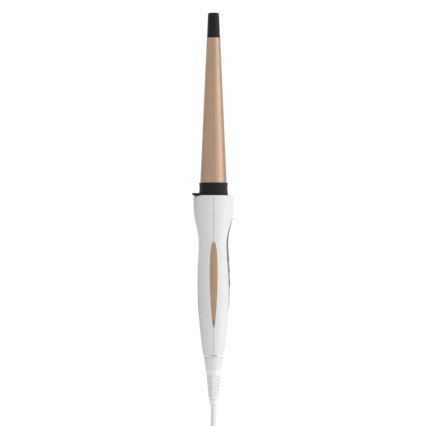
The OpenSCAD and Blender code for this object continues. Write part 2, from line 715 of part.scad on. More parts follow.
// The plug lies on the hank. The cord's last run passes over the tie, folds back on top of
// the hank and enters the plug.
plug_y = 5;
plug_z = hank_top + plug_t / 2;
plug_past_tie = 20;
plug_back = hank_x + plug_past_tie;
plug_face = plug_back + plug_len;
relief_start = plug_back - plug_relief_len;
over_hank = hank_top + cord_r + 0.1;
over_tie = over_hank + tie_t;
last_run_from = 17;
function last_run(x) = [hank_x + x, cord_d + cord_r - hank_half_w(abs(x)),
    mix(over_tie, over_hank, ease(max(0, min(1, (-x - tie_w / 2) / last_run_from))))];
back_fold_r = 14.8;
back_fold = [for (a = [-75:25:75]) [hank_x - run_half - back_fold_r * cos(a), back_fold_r * sin(a),
    over_hank + (a + 90) / 60]];
lead_in_len = 36.1;
lead_in_side = 10;
lead_in_drop = 1.25;
lead_route = concat([for (x = [last_run_from:-last_run_from / 3:-run_half]) last_run(x)], back_fold,
    [for (p = [[1, 1, 1], [0.795, 0.85, 0.72], [0.596, 0.57, 0.44], [0.402, 0.28, 0.2], [0.208, 0.075, 0.04]])
        [relief_start - lead_in_len * p[0], plug_y + lead_in_side * p[1], plug_z - lead_in_drop * p[2]]],
    [[relief_start - fit, plug_y, plug_z]]);
module plug_lead() color(white) swept(lead_route, cord_r, [0, 0, 1], cord_sides);

plug_back_w = 17;
plug_back_t = 10.4;
plug_flank_w = 24.8;
plug_flank_at = 20;
plug_grip_at = 8;
module plug_body() color(white) translate([plug_face, plug_y, plug_z]) difference() {
    union() {
        intersection() {
            translate([0, 0, -plug_t / 2]) linear_extrude(plug_t) polygon([
                [0, -plug_w / 2 + 3], [-3, -plug_w / 2], [-plug_grip_at, -plug_w / 2],
                [-plug_flank_at, -plug_flank_w / 2],
                [-plug_len + 3, -plug_back_w / 2], [-plug_len, -plug_back_w / 2 + 2],
                [-plug_len, plug_back_w / 2 - 2], [-plug_len + 3, plug_back_w / 2],
                [-plug_flank_at, plug_flank_w / 2], [-plug_grip_at, plug_w / 2],
                [-3, plug_w / 2], [0, plug_w / 2 - 3]]);
            rotate([90, 0, 0]) translate([0, 0, -far]) linear_extrude(2 * far) polygon([
                [0, -plug_t / 2 + 1], [-1, -plug_t / 2], [-12, -plug_t / 2], [-plug_len, -plug_back_t / 2],
                [-plug_len, plug_back_t / 2], [-12, plug_t / 2], [-1, plug_t / 2], [0, plug_t / 2 - 1]]);
        }
        translate([-plug_len - plug_relief_len, 0, 0]) rotate([0, 90, 0])
            cylinder(r1 = 3.3, r2 = 4.6, h = plug_relief_len + 1);
    }
    for (s = [-1, 1]) translate([-pin_root - fit, s * pin_gap / 2, 0]) rotate([0, 90, 0])
        cylinder(r = core_r + fit / 2, h = far);
}
pin_root = 9;
core_r = 1.5;
module at_pins() translate([plug_face, plug_y, plug_z]) for (s = [-1, 1])
    translate([0, s * pin_gap / 2, 0]) rotate([0, 90, 0]) children();
module plug_pins() color(brass) at_pins() {
    bar(core_r, -pin_root, sleeve_len + 1);
    rotate_extrude() polygon(concat([[0, sleeve_len + fit], [pin_d / 2, sleeve_len + fit]],
        [for (a = [0:15:90]) [pin_d / 2 - 1 + cos(a), pin_len - 1 + sin(a)]], [[0, pin_len]]));
}
module pin_sleeves() color(grey) at_pins() tube(core_r + fit / 2, pin_d / 2, fit, sleeve_len);

barrel();
cool_tip();
collar();
rest_plate();
neck_bushing();
retaining_ring();
heater_shoes();
heater_element();
temperature_sensor();
thermal_fuse();
front_shell();
rear_shell();
shell_screws();
left_inlay();
right_inlay();
control_panel();
display_lens();
display_unit();
display_holder();
control_board();
board_screws();
control_chip();
power_capacitor();
power_triac();
tact_switches();
power_button();
plus_button();
minus_button();
heater_leads();
mains_leads();
end_ring();
swivel_socket();
brush_contacts();
swivel_spindle();
slip_rings();
spindle_clip();
swivel_cap();
strain_relief();
cord_tail();
cord_hank();
cord_tie();
plug_lead();
plug_body();
plug_pins();
pin_sleeves();
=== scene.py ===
import json
import math
import bmesh
import bpy
from mathutils import Matrix, Vector


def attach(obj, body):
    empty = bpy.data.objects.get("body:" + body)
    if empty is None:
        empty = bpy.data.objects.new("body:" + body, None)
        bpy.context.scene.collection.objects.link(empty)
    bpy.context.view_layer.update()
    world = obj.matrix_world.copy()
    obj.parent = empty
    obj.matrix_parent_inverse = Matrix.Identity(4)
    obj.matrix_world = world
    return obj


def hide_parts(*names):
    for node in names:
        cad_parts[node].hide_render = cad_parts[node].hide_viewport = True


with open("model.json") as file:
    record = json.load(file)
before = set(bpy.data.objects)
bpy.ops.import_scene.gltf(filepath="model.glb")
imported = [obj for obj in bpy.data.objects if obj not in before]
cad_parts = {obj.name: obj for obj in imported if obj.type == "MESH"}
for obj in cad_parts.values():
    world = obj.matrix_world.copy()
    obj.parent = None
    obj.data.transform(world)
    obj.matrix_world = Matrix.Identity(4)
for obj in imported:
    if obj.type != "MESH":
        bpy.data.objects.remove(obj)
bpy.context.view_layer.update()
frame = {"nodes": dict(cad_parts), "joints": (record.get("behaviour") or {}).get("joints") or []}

mm = 0.001

# ---- Table, light and camera ----
# The wand lies on a light table, a sheet of translucent white acrylic lit from below and brighter
# away from the wand. Three softboxes hang over it: above the wand, towards the viewer and past
# the cord's end. The viewer looks at the wand's side from just above the table, tip up.
end_ring_end = 153.5 * mm
sky_level = 0.6
table_half, table_colour = 6, 0.35
lit_by_table, near_glow, far_glow = 0.4, 0.66, 0.82
glow_near_at, glow_far_at = 0.5, 1.5
view_width, lens = 404.7 * mm, 135
aim_below, aim_behind, eye_height = 16.78 * mm, 0.475 * mm, 1 * mm
swivel = next(j for j in frame["joints"] if j["name"] == "cord_swivel")
to_tip = Vector(swivel["axis"]).normalized()
to_panel = Vector((to_tip.z, 0, -to_tip.x))
handle_top = Vector(swivel["pos_m"]) + to_tip * end_ring_end
wand = Matrix.Translation(handle_top) @ Matrix((to_panel, (0, 1, 0), to_tip)).transposed().to_4x4()


def placed(name, data):
    """A new object in the scene, at the origin."""
    made = bpy.data.objects.new(name, data)
    bpy.context.scene.collection.objects.link(made)
    return made


def emptied(owner):
    """The node tree of a new material or world, with nothing in it yet."""
    owner.use_nodes = True
    owner.node_tree.nodes.clear()
    return owner.node_tree


def put(tree, kind, sockets=None, **settings):
    """A new node. sockets maps an input's name or number to a value, or to an output to link."""
    made = tree.nodes.new(kind)
    for key, value in settings.items():
        setattr(made, key, value)
    for key, value in (sockets or {}).items():
        if isinstance(value, bpy.types.NodeSocket):
            tree.links.new(value, made.inputs[key])
        else:
            made.inputs[key].default_value = value
    return made


def maths(tree, kind, a, b=0.0, c=0.0):
    """What a calculation with up to three numbers gives."""
    return put(tree, "ShaderNodeMath", {0: a, 1: b, 2: c}, operation=kind).outputs[0]


def spread(tree, value, low, high, to_low=0.0, to_high=1.0):
    """A value's place between low and high, given between two other numbers and held there."""
    return put(tree, "ShaderNodeMapRange", {"Value": value, "From Min": low, "From Max": high,
               "To Min": to_low, "To Max": to_high}).outputs[0]


def on_piece(tree):
    """The place on a piece, in metres."""
    return put(tree, "ShaderNodeTexCoord").outputs["Object"]


def seen_directly(tree):
    """1 for a ray from the camera, a reflection or a view through glass, else 0."""
    rays = put(tree, "ShaderNodeLightPath").outputs
    mirrored = maths(tree, "MAXIMUM", rays["Is Camera Ray"], rays["Is Glossy Ray"])
    return maths(tree, "MAXIMUM", mirrored, rays["Is Transmission Ray"])


def softbox(name, power, size, place):
    """A wide lamp that faces straight down. power is what each square metre of it gives."""
    lamp = bpy.data.lights.new(name, "AREA")
    lamp.shape = "RECTANGLE"
    lamp.size, lamp.size_y = size
    lamp.energy = power * size[0] * size[1]
    lamp_at = placed(name, lamp)
    lamp_at.location = place
    lamp_at.visible_camera = False


sky = bpy.data.worlds.new("white_room")
air = emptied(sky)
room = put(air, "ShaderNodeBackground", {
    "Color": (1, 1, 1, 1), "Strength": spread(air, seen_directly(air), 0, 1, sky_level, 1)})
put(air, "ShaderNodeOutputWorld", {"Surface": room.outputs[0]})
bpy.context.scene.world = sky
bpy.context.scene.view_settings.view_transform = "Standard"
softbox("front_softbox", 1.2, (2.8, 1.62), (0, -1.52, 0.85))
softbox("top_softbox", 3.2, (2.8, 0.83), (0, -0.3, 0.85))
softbox("tail_softbox", 1.6, (1.0, 1.6), (1.3, -0.4, 0.75))

table = bpy.data.meshes.new("table")
table.from_pydata([(x * table_half, y * table_half, 0) for x, y in ((-1, -1), (1, -1), (1, 1), (-1, 1))],
                  [], [(0, 1, 2, 3)])
pale = bpy.data.materials.new("pale_table")
sheet = emptied(pale)
matt = put(sheet, "ShaderNodeBsdfDiffuse", {"Color": (table_colour,) * 3 + (1,)})
apart = put(sheet, "ShaderNodeVectorMath", {0: on_piece(sheet)}, operation="LENGTH").outputs["Value"]
seen_glow = spread(sheet, apart, glow_near_at, glow_far_at, near_glow, far_glow)
glow = put(sheet, "ShaderNodeEmission", {"Color": (1, 1, 1, 1), "Strength": spread(
    sheet, seen_directly(sheet), 0, 1, lit_by_table, seen_glow)})
both = put(sheet, "ShaderNodeAddShader", {0: matt.outputs[0], 1: glow.outputs[0]})
put(sheet, "ShaderNodeOutputMaterial", {"Surface": both.outputs[0]})
table.materials.append(pale)
table_top = placed("table", table)

camera = bpy.data.cameras.new("camera")
camera.lens = lens
camera_at = placed("camera", camera)
aim = handle_top - to_tip * aim_below - to_panel * aim_behind
stand = Vector((aim.x, -view_width * lens / camera.sensor_width, eye_height))
back = (stand - aim).normalized()
right = to_tip.cross(back).normalized()
camera_at.matrix_world = Matrix.Translation(stand) @ Matrix(
    (right, back.cross(right), back)).transposed().to_4x4()
bpy.context.scene.camera = camera_at

# ---- Mains cord ----
# A 5 mm round mains cord in white PVC. It leaves the wand's strain relief, drops to the table
# and is folded into a hank of six turns, two abreast and three deep, with its plug on top.
cord_d = 5 * mm
relief_end, straight_out = 199.2, 8
outer, inner = 20 * mm, 15 * mm
fold_x, run_half = 277 * mm, 42.5 * mm
hank_x = fold_x + run_half
tie_w, pinch = 14 * mm, 7.5 * mm
decks = [3.5 * mm, 8.5 * mm, 13.5 * mm, 19.6 * mm]
over_hank, climb_run = 18.6 * mm, 17 * mm
top_fold_r, top_fold_rise = 14.8 * mm, 3 * mm
run_steps, fold_steps = 14, 12
move_share, wait_share = 0.4, 0.12
# Places of the cord in mm, on its way down to the first turn and from the last turn to the plug
down_to_hank = [(216, 0, 8.8), (223, 0.3, 8.1), (230, 1.6, 7.1), (237, 4, 6.1), (244, 7.4, 5.1),
                (251, 11.2, 4.4), (258, 15, 3.9), (265, 18, 3.6), (271, 19.6, 3.5)]
up_to_plug = [(278.4, 15, 21.6), (285.8, 13.5, 21.95), (293, 10.7, 22.3), (300, 7.8, 22.6),
              (307, 5.75, 22.8), (314.4, 5, 22.85)]
cord_exit = handle_top - to_tip * relief_end * mm


def smooth(t):
    """A gentle change from 0 to 1 while t goes from 0 to 1."""
    t = min(1, max(0, t))
    return t * t * (3 - 2 * t)


def pinched(x):
    """How far the tie draws the hank's sides in at x."""
    clear = tie_w / 2 + mm
    return pinch * (1 - smooth((abs(x - hank_x) - clear) / (run_half - clear)))


def fold(x, reach, z, side):
    """The cord's half circle at the hank's far end, where side is 1, or at its near end, -1."""
    turns = [math.pi * k / fold_steps for k in range(1, fold_steps)]
    return [(x + side * reach * math.sin(a), side * reach * math.cos(a), z) for a in turns]


def hank_route():
    """Six turns. Each goes straight out on one side, and on its way back it moves over to the
    next place of the bundle, after the turn that lay there has moved on."""
    far_folds = [(outer, 0), (inner, 0), (inner, 1), (outer, 1), (outer, 2), (inner, 2)]
    near_folds = [(inner, 0), (inner, 1), (outer, 1), (outer, 2), (inner, 2), (inner, 3)]
    last = len(far_folds) - 1
    shares = [k / run_steps for k in range(run_steps + 1)]
    route = []
    for turn, ((reach, deck), (next_reach, next_deck)) in enumerate(zip(far_folds, near_folds)):
        for share in shares:
            x = fold_x + 2 * run_half * share
            route.append((x, reach - pinched(x), decks[deck]))
        route += fold(fold_x + 2 * run_half, reach, decks[deck], 1)
        for share in shares:
            x = fold_x + 2 * run_half * (1 - share)
            t = smooth((share - wait_share * (last - turn)) / move_share)
            z = decks[deck] + (decks[next_deck] - decks[deck]) * t
            if turn == last and x < hank_x - tie_w / 2:
                z += (over_hank - z) * smooth((hank_x - tie_w / 2 - x) / climb_run)
            route.append((x, pinched(x) - reach - (next_reach - reach) * t, z))
        if turn < last:
            route += fold(fold_x, next_reach, decks[next_deck], -1)
    return route


def through(points, between):
    """A smooth line through points, with so many places to each step between two of them."""
    p = [Vector(q) for q in points]
    p = [p[0] * 2 - p[1]] + p + [p[-1] * 2 - p[-2]]
    line = []
    for a, b, c, d in zip(p, p[1:], p[2:], p[3:]):
        for k in range(between):
            t = k / between
            line.append(0.5 * (2 * b + (c - a) * t + (2 * a - 5 * b + 4 * c - d) * t ** 2
                               + (3 * b - a - 3 * c + d) * t ** 3))
    return line + [p[-2]]


def node_group(name, kind, takes, gives):
    """A new group with named inputs and outputs, and what its input node gives. A number sets a
    socket's type and default, and None stands for geometry."""
    tree = bpy.data.node_groups.new(name, kind)
    kinds = {float: "NodeSocketFloat", int: "NodeSocketInt", type(None): "NodeSocketGeometry"}
    for in_out, sockets in (("INPUT", takes), ("OUTPUT", gives)):
        for label, value in sockets.items():
            socket = tree.interface.new_socket(label, in_out=in_out, socket_type=kinds[type(value)])
            if value is not None:
                socket.default_value = value
    return tree, put(tree, "NodeGroupInput").outputs


def noise(tree, scale, detail, roughness=0.5):
    """A random pattern on a piece, with so many spots to the metre."""
    return put(tree, "ShaderNodeTexNoise", {"Vector": on_piece(tree), "Scale": scale, "Detail": detail,
               "Roughness": roughness}).outputs[0]


def mixed(tree, mask, first, second):
    """A colour that is first where a mask is 0 and second where it is 1."""
    return put(tree, "ShaderNodeMix", {0: mask, 6: first, 7: second}, data_type="RGBA").outputs[2]


def grain_effect():
    """The fine skin that a mould or an extruder leaves: a height, and broad duller patches."""
    tree, given = node_group("skin_grain", "ShaderNodeTree", {
        "Grain Size": 0.4 * mm, "Patch Size": 12 * mm}, {"Height": 0.0, "Patch": 0.0})
    height = noise(tree, maths(tree, "DIVIDE", 1.0, given["Grain Size"]), 3.0)
    patch = noise(tree, maths(tree, "DIVIDE", 1.0, given["Patch Size"]), 4.0, 0.6)
    put(tree, "NodeGroupOutput", {"Height": height, "Patch": patch})
    return tree


def edge_wear_and_shade_effect():
    """Where hands and other things rub, and where the lacquer's rim gets painted shade: a mask that is 1
    on outer edges, broken up by a noise.
    """
    tree, given = node_group("worn_and_shaded_edges", "ShaderNodeTree", {"Width": 0.4 * mm}, {"Mask": 0.0})
    rounded = put(tree, "ShaderNodeBevel", {"Radius": given["Width"]}, samples=4).outputs[0]
    true = put(tree, "ShaderNodeNewGeometry").outputs["Normal"]
    leaning = put(tree, "ShaderNodeVectorMath", {0: rounded, 1: true}, operation="DOT_PRODUCT")
    edge = spread(tree, leaning.outputs["Value"], 0.995, 0.8)
    broken = spread(tree, noise(tree, 260.0, 3.0), 0.35, 0.65)
    put(tree, "NodeGroupOutput", {"Mask": maths(tree, "MULTIPLY", edge, broken)})
    return tree


def corner_effect():
    """Painted shade deep in grooves and corners: a mask that is 1 deep in a groove or corner and 0 in
    the open.
    """
    tree, given = node_group("painted_corner_shade", "ShaderNodeTree", {"Reach": 0.5 * mm}, {"Mask": 0.0})
    openness = put(tree, "ShaderNodeAmbientOcclusion", {"Distance": given["Reach"]}, samples=8)
    put(tree, "NodeGroupOutput", {"Mask": spread(tree, openness.outputs["AO"], 0.9, 0.3)})
    return tree


grain = grain_effect()
edge_wear_and_shade = edge_wear_and_shade_effect()
corners = corner_effect()


def moulded(name, colour, dull, edge_wear_and_shade_colour, roughness, grain_size=0.4 * mm, grain_depth=0.01 * mm,
            edge=0.3 * mm, swing=0.08, corner_shade=0.45, **constants):
    """Moulded, drawn or extruded stock: colour drifts to dull in broad patches, to another colour on
    edges (rubbed wear, and painted shade on the lacquer), and to a share of dull deep in corners as
    painted shade."""
    material = bpy.data.materials.new(name)
    tree = emptied(material)
    skin = put(tree, "ShaderNodeGroup", {"Grain Size": grain_size}, node_tree=grain).outputs
    edge_wear_and_shade_mask = put(tree, "ShaderNodeGroup", {"Width": edge}, node_tree=edge_wear_and_shade).outputs["Mask"]
    corner_shade_mask = put(tree, "ShaderNodeGroup", {"Reach": 0.6 * mm}, node_tree=corners).outputs["Mask"]
    stock = mixed(tree, spread(tree, skin["Patch"], 0.35, 0.7), (*colour, 1), (*dull, 1))
    used = mixed(tree, edge_wear_and_shade_mask, stock, (*edge_wear_and_shade_colour, 1))
    rough = spread(tree, skin["Patch"], 0.3, 0.7, roughness - swing / 2, roughness + swing / 2)
    bump = put(tree, "ShaderNodeBump", {"Height": skin["Height"], "Distance": grain_depth})
    shader = put(tree, "ShaderNodeBsdfPrincipled", {
        # Deep in corners the colour darkens to a share of dull: painted shade.
        "Base Color": mixed(tree, corner_shade_mask, used, (*(c * corner_shade for c in dull), 1)), "Roughness": rough,
        "Normal": bump.outputs[0]})
    for key, value in constants.items():
        shader.inputs[key.replace("_", " ")].default_value = value
    put(tree, "ShaderNodeOutputMaterial", {"Surface": shader.outputs[0]})
    return material


def show(name, data, material, body, slot, *nodes):
    """A piece that rides on body, takes the given material and stands for the named CAD nodes. slot is
    not used.
    """
    data.materials.clear()
    data.materials.append(material)
    piece = placed(name, data)
    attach(piece, body)
    if nodes:
        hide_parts(*nodes)
    return piece


cord_points = [cord_exit, cord_exit - to_tip * straight_out * mm]
cord_points += [[c * mm for c in p] for p in down_to_hank]
cord_points += hank_route()
cord_points += [(fold_x - top_fold_r * math.cos(math.radians(a)), top_fold_r * math.sin(math.radians(a)),
                 over_hank + top_fold_rise * (a + 90) / 180) for a in range(-75, 76, 25)]
cord_points += [[c * mm for c in p] for p in up_to_plug]
white_cord = moulded("white_cord_pvc", (0.78, 0.78, 0.785), (0.74, 0.74, 0.73), (0.83, 0.83, 0.83), 0.42,
                     grain_size=0.5 * mm, grain_depth=0.012 * mm)
cord_curve = bpy.data.curves.new("mains_cord", "CURVE")
cord_curve.dimensions = "3D"
cord_curve.bevel_depth = cord_d / 2
cord_curve.bevel_resolution = 4
cord_curve.use_fill_caps = True
line = through(cord_points, 3)
spline = cord_curve.splines.new("POLY")
spline.points.add(len(line) - 1)
for point, place in zip(spline.points, line):
    point.co = (*place, 1)
mains_cord = show("mains_cord", cord_curve, white_cord, "root", "cord_white",
                  "cord_tail", "cord_hank", "plug_lead")

# ---- Cord tie ----
# A hook-and-loop strap that holds the hank: a 1 mm thick woven nylon band, wrapped once round
# the cords and closed by its end, which lies on the band's top.
tie_t, flap_t, flap_gap = 1 * mm, 0.9 * mm, 0.02 * mm
tie_half_w, tie_h, tie_corner = 16 * mm, 17 * mm, 3 * mm
flap_from_y, flap_down_to = 9 * mm, 4.5 * mm
weave_pitch, weave_depth = 0.9 * mm, 0.12 * mm


def tie_path(grown):
    """The band's middle line round the hank, grown outwards by so much, from below round to the top."""
    half_w, top, r = tie_half_w - tie_t / 2 + grown, tie_h - tie_t / 2 + grown, tie_corner + grown
    low = tie_t / 2 - min(grown, 0)
    bends = [(half_w - r, low + r, -90), (half_w - r, top - r, 0), (r - half_w, top - r, 90),
             (r - half_w, low + r, 180)]
    return [(y + r * math.cos(math.radians(a + k * 10)), z + r * math.sin(math.radians(a + k * 10)))
            for y, z, a in bends for k in range(10)]


def flap(grown):
    """The band's closed end: the part of its path over the top, down to half way on one side."""
    return [(y, z) for y, z in tie_path(grown) if z > flap_down_to and y < flap_from_y][:-1]


def parts_of(tree, place):
    """The X, Y and Z of a place."""
    return put(tree, "ShaderNodeSeparateXYZ", {0: place}).outputs


def woven_effect():
    """A plain weave of ribs across and along a narrow band, with a little fuzz."""
    tree, given = node_group("band_weave", "ShaderNodeTree", {"Pitch": weave_pitch},
                             {"Height": 0.0, "Thread": 0.0})
    rate = maths(tree, "DIVIDE", 2 * math.pi, given["Pitch"])
    scaled = put(tree, "ShaderNodeVectorMath", {0: on_piece(tree), "Scale": rate}, operation="SCALE")
    parts = parts_of(tree, scaled.outputs[0])
    across = maths(tree, "SINE", parts["X"])
    around = maths(tree, "SINE", maths(tree, "ADD", parts["Y"], parts["Z"]))
    over = maths(tree, "MULTIPLY", across, around)
    height = maths(tree, "MULTIPLY_ADD", over, 0.4, noise(tree, 2200.0, 2.0))
    put(tree, "NodeGroupOutput", {"Height": height, "Thread": spread(tree, height, 0.1, 0.9)})
    return tree


def band_material():
    """Woven nylon: dark between its threads and grey on them, with a short nap."""
    material = bpy.data.materials.new("grey_nylon_band")
    tree = emptied(material)
    weave = put(tree, "ShaderNodeGroup", {"Pitch": weave_pitch}, node_tree=woven_effect()).outputs
    bump = put(tree, "ShaderNodeBump", {"Height": weave["Height"], "Distance": weave_depth})
    shader = put(tree, "ShaderNodeBsdfPrincipled", {
        "Base Color": mixed(tree, weave["Thread"], (0.03, 0.03, 0.032, 1), (0.12, 0.12, 0.125, 1)),
        "Roughness": 0.85, "Sheen Weight": 0.3, "Sheen Roughness": 0.4, "Normal": bump.outputs[0]})
    put(tree, "ShaderNodeOutputMaterial", {"Surface": shader.outputs[0]})
    return material


def smoothed(data, sharp=35):
    """The mesh with its faces shaded smooth, except across edges of more than sharp degrees."""
    data.shade_smooth()
    data.set_sharp_from_angle(angle=math.radians(sharp))
    return data


def skinned(shape, rings, closed=False):
    """Faces from each ring of corners to the next. A ring may be one point, so many times over."""
    for a, b in zip(rings, rings[1:] + (rings[:1] if closed else [])):
        for k in range(len(a)):
            j = (k + 1) % len(a)
            face = list(dict.fromkeys((a[k], a[j], b[j], b[k])))
            if len(face) > 2:
                shape.faces.new(face)


def solid(shape, sharp=35, at=Matrix()):
    """The finished mesh of a drawn shape: its normals out, put in its place and smooth."""
    bmesh.ops.recalc_face_normals(shape, faces=shape.faces)
    data = bpy.data.meshes.new("piece")
    shape.to_mesh(data)
    shape.free()
    data.transform(at)
    return smoothed(data, sharp)


def banded(paths, half_w, x):
    """Closed and open strips of a band, each swept across x from its middle line's two sides."""
    shape = bmesh.new()
    for outer_line, inner_line, closed in paths:
        rings = [[shape.verts.new((x + side * half_w, *p)) for p, side in (
            (a, -1), (a, 1), (b, 1), (b, -1))] for a, b in zip(outer_line, inner_line)]
        skinned(shape, rings, closed)
        if not closed:
            shape.faces.new(rings[0])
            shape.faces.new(rings[-1])
    return solid(shape, 40)


band = banded([(tie_path(tie_t / 2), tie_path(-tie_t / 2), True),
               (flap(tie_t / 2 + flap_t), flap(tie_t / 2 + flap_gap), False)], tie_w / 2, hank_x)
cord_tie = show("cord_tie_band", band, band_material(), "root", "tie_grey", "cord_tie")

# ---- Plug ----
# A flat two-pin mains plug, moulded in white PVC onto the cord in one piece with its ribbed
# strain relief. The pins are plated brass with black sleeves on their first half.
plug_face, plug_y, plug_z = 373.5 * mm, 5 * mm, 22.85 * mm
plug_len, plug_relief_len, plug_sides = 34 * mm, 25 * mm, 72
plug_relief_r, plug_relief_gain, plug_end_r, plug_end_round = 4.5 * mm, 1.2 * mm, 3.3 * mm, 0.5 * mm
plug_ribs, plug_rib_from, plug_rib_pitch = 7, 3 * mm, 2.6 * mm
# Places along the plug from its face back: half width, half thickness, roundness of the corners
plug_sections = [(0, 16.2, 5.75, 5), (0.5, 17.1, 6.5, 5), (1.6, 17.6, 6.84, 5), (8, 17.6, 6.84, 5),
                 (11, 16.4, 6.8, 4.5), (14, 14.8, 6.65, 4), (17, 13.3, 6.45, 3.6), (20, 12.2, 6.3, 3.4),
                 (24, 11, 6, 3.2), (28, 9.9, 5.75, 3), (31.5, 8.9, 5.5, 2.8), (33.2, 8.1, 5.2, 2.6),
                 (34, 6.4, 4.6, 2.4), (34.4, 4.7, 4.4, 2)]
# One groove between two of its ribs, from front to back: the place, and how deep it lies
plug_groove = [(0.2, 0), (0.5, 0.7), (1.2, 0.7), (1.5, 0)]


def plug_mesh():
    """The plug's flat body, which grows round towards the cord, and the ribbed relief behind it."""
    sections = [(-s * mm, w * mm, t * mm, n) for s, w, t, n in plug_sections]
    for i in range(plug_ribs):
        for step, deep in plug_groove:
            at = -plug_rib_from - i * plug_rib_pitch - step * mm
            r = plug_relief_r + plug_relief_gain * at / plug_relief_len - deep * mm
            sections.append((at - plug_len, r, r, 2))
    end, end_r = -plug_len - plug_relief_len, plug_end_r - plug_end_round
    sections += [(end + 2 * plug_end_round, plug_end_r, plug_end_r, 2), (end, end_r, end_r, 2)]
    shape = bmesh.new()
    rings = []
    for x, w, t, n in sections:
        ring = []
        for k in range(plug_sides):
            a = 2 * math.pi * k / plug_sides
            across, up = (math.copysign(abs(c) ** (2 / n), c) for c in (math.cos(a), math.sin(a)))
            ring.append(shape.verts.new((plug_face + x, plug_y + w * across, plug_z + t * up)))
        rings.append(ring)
    skinned(shape, rings)
    shape.faces.new(rings[0])
    shape.faces.new(rings[-1])
    return solid(shape, 50)


def finish_node(node, material):
    """A CAD node that keeps its shape and gets its own finish."""
    made = frame["nodes"][node]
    made.data.materials.clear()
    made.data.materials.append(material)
    return made


white_plug = moulded("white_plug_pvc", (0.78, 0.78, 0.785), (0.74, 0.74, 0.73), (0.84, 0.84, 0.84), 0.36,
                     grain_size=0.35 * mm, grain_depth=0.012 * mm)
plug = show("mains_plug", plug_mesh(), white_plug, "root", "plug_white", "plug_body")
plated_brass = moulded("plated_brass_pin", (0.72, 0.7, 0.66), (0.6, 0.58, 0.53), (0.86, 0.83, 0.75),
                       0.22, grain_size=0.25 * mm, grain_depth=0.004 * mm, Metallic=1.0)
pins = finish_node("plug_pins", plated_brass)
black_sleeve = moulded("black_pin_sleeve", (0.012, 0.012, 0.013), (0.02, 0.02, 0.021),
                       (0.035, 0.035, 0.036), 0.45, grain_depth=0.006 * mm)
sleeves = finish_node("pin_sleeves", black_sleeve)

# ---- Strain relief ----
# A tapered sleeve in soft white PVC that turns with the swivel cap: ribs on a core, tied by
# four spines, and a rounded nose from which the cord comes out.
relief_from, relief_len, nose_len = 169.9 * mm, 29.3 * mm, 5.8 * mm
relief_top_r, relief_end_r = 6.55 * mm, 4.45 * mm
rib_pitch, rib_w, rib_depth, spine_w = 2.2 * mm, 1.2 * mm, 0.7 * mm, 2.6 * mm
rib_root, rib_round = 1.2, 0.25
relief_sides = 72
nose_inset, nose_lap, nose_bevel, nose_shank = 0.6, 0.5, 0.5, 1
ribbed_len = relief_len - nose_len
nose_r, nose_end_r = relief_end_r - 0.4 * mm, cord_d / 2 + 0.5 * mm
relief_at = wand @ Matrix.Translation((0, 0, -relief_from))
relief_sizes = {"Ribs": int(ribbed_len / rib_pitch), "Rib Pitch": rib_pitch, "Rib Width": rib_w,
                "Rib Depth": rib_depth, "Top Radius": relief_top_r, "End Radius": relief_end_r,
                "Length": ribbed_len, "Spine Width": spine_w}


def turned(outline, sides=128, closed=False, sharp=35, at=wand):
    """A piece turned round the wand's axis. outline holds its radii and heights, in mm."""
    shape = bmesh.new()
    rings = []
    for r, z in outline:
        if r == 0:
            rings.append([shape.verts.new((0, 0, z * mm))] * sides)
        else:
            rings.append([shape.verts.new((r * mm * math.cos(2 * math.pi * k / sides),
                                           r * mm * math.sin(2 * math.pi * k / sides), z * mm))
                          for k in range(sides)])
    skinned(shape, rings, closed)
    return solid(shape, sharp, at)


def rounded(start, end, steps):
    """A quarter of an oval between two corners of an outline, which leaves the first one upright."""
    (start_r, start_z), (end_r, end_z) = start, end
    turns = [math.pi / 2 * k / steps for k in range(steps + 1)]
    return [(end_r + (start_r - end_r) * math.cos(a), start_z + (end_z - start_z) * math.sin(a))
            for a in turns]


def vector(tree, x=0.0, y=0.0, z=0.0):
    """A place or a way made from its X, Y and Z."""
    return put(tree, "ShaderNodeCombineXYZ", {0: x, 1: y, 2: z}).outputs[0]


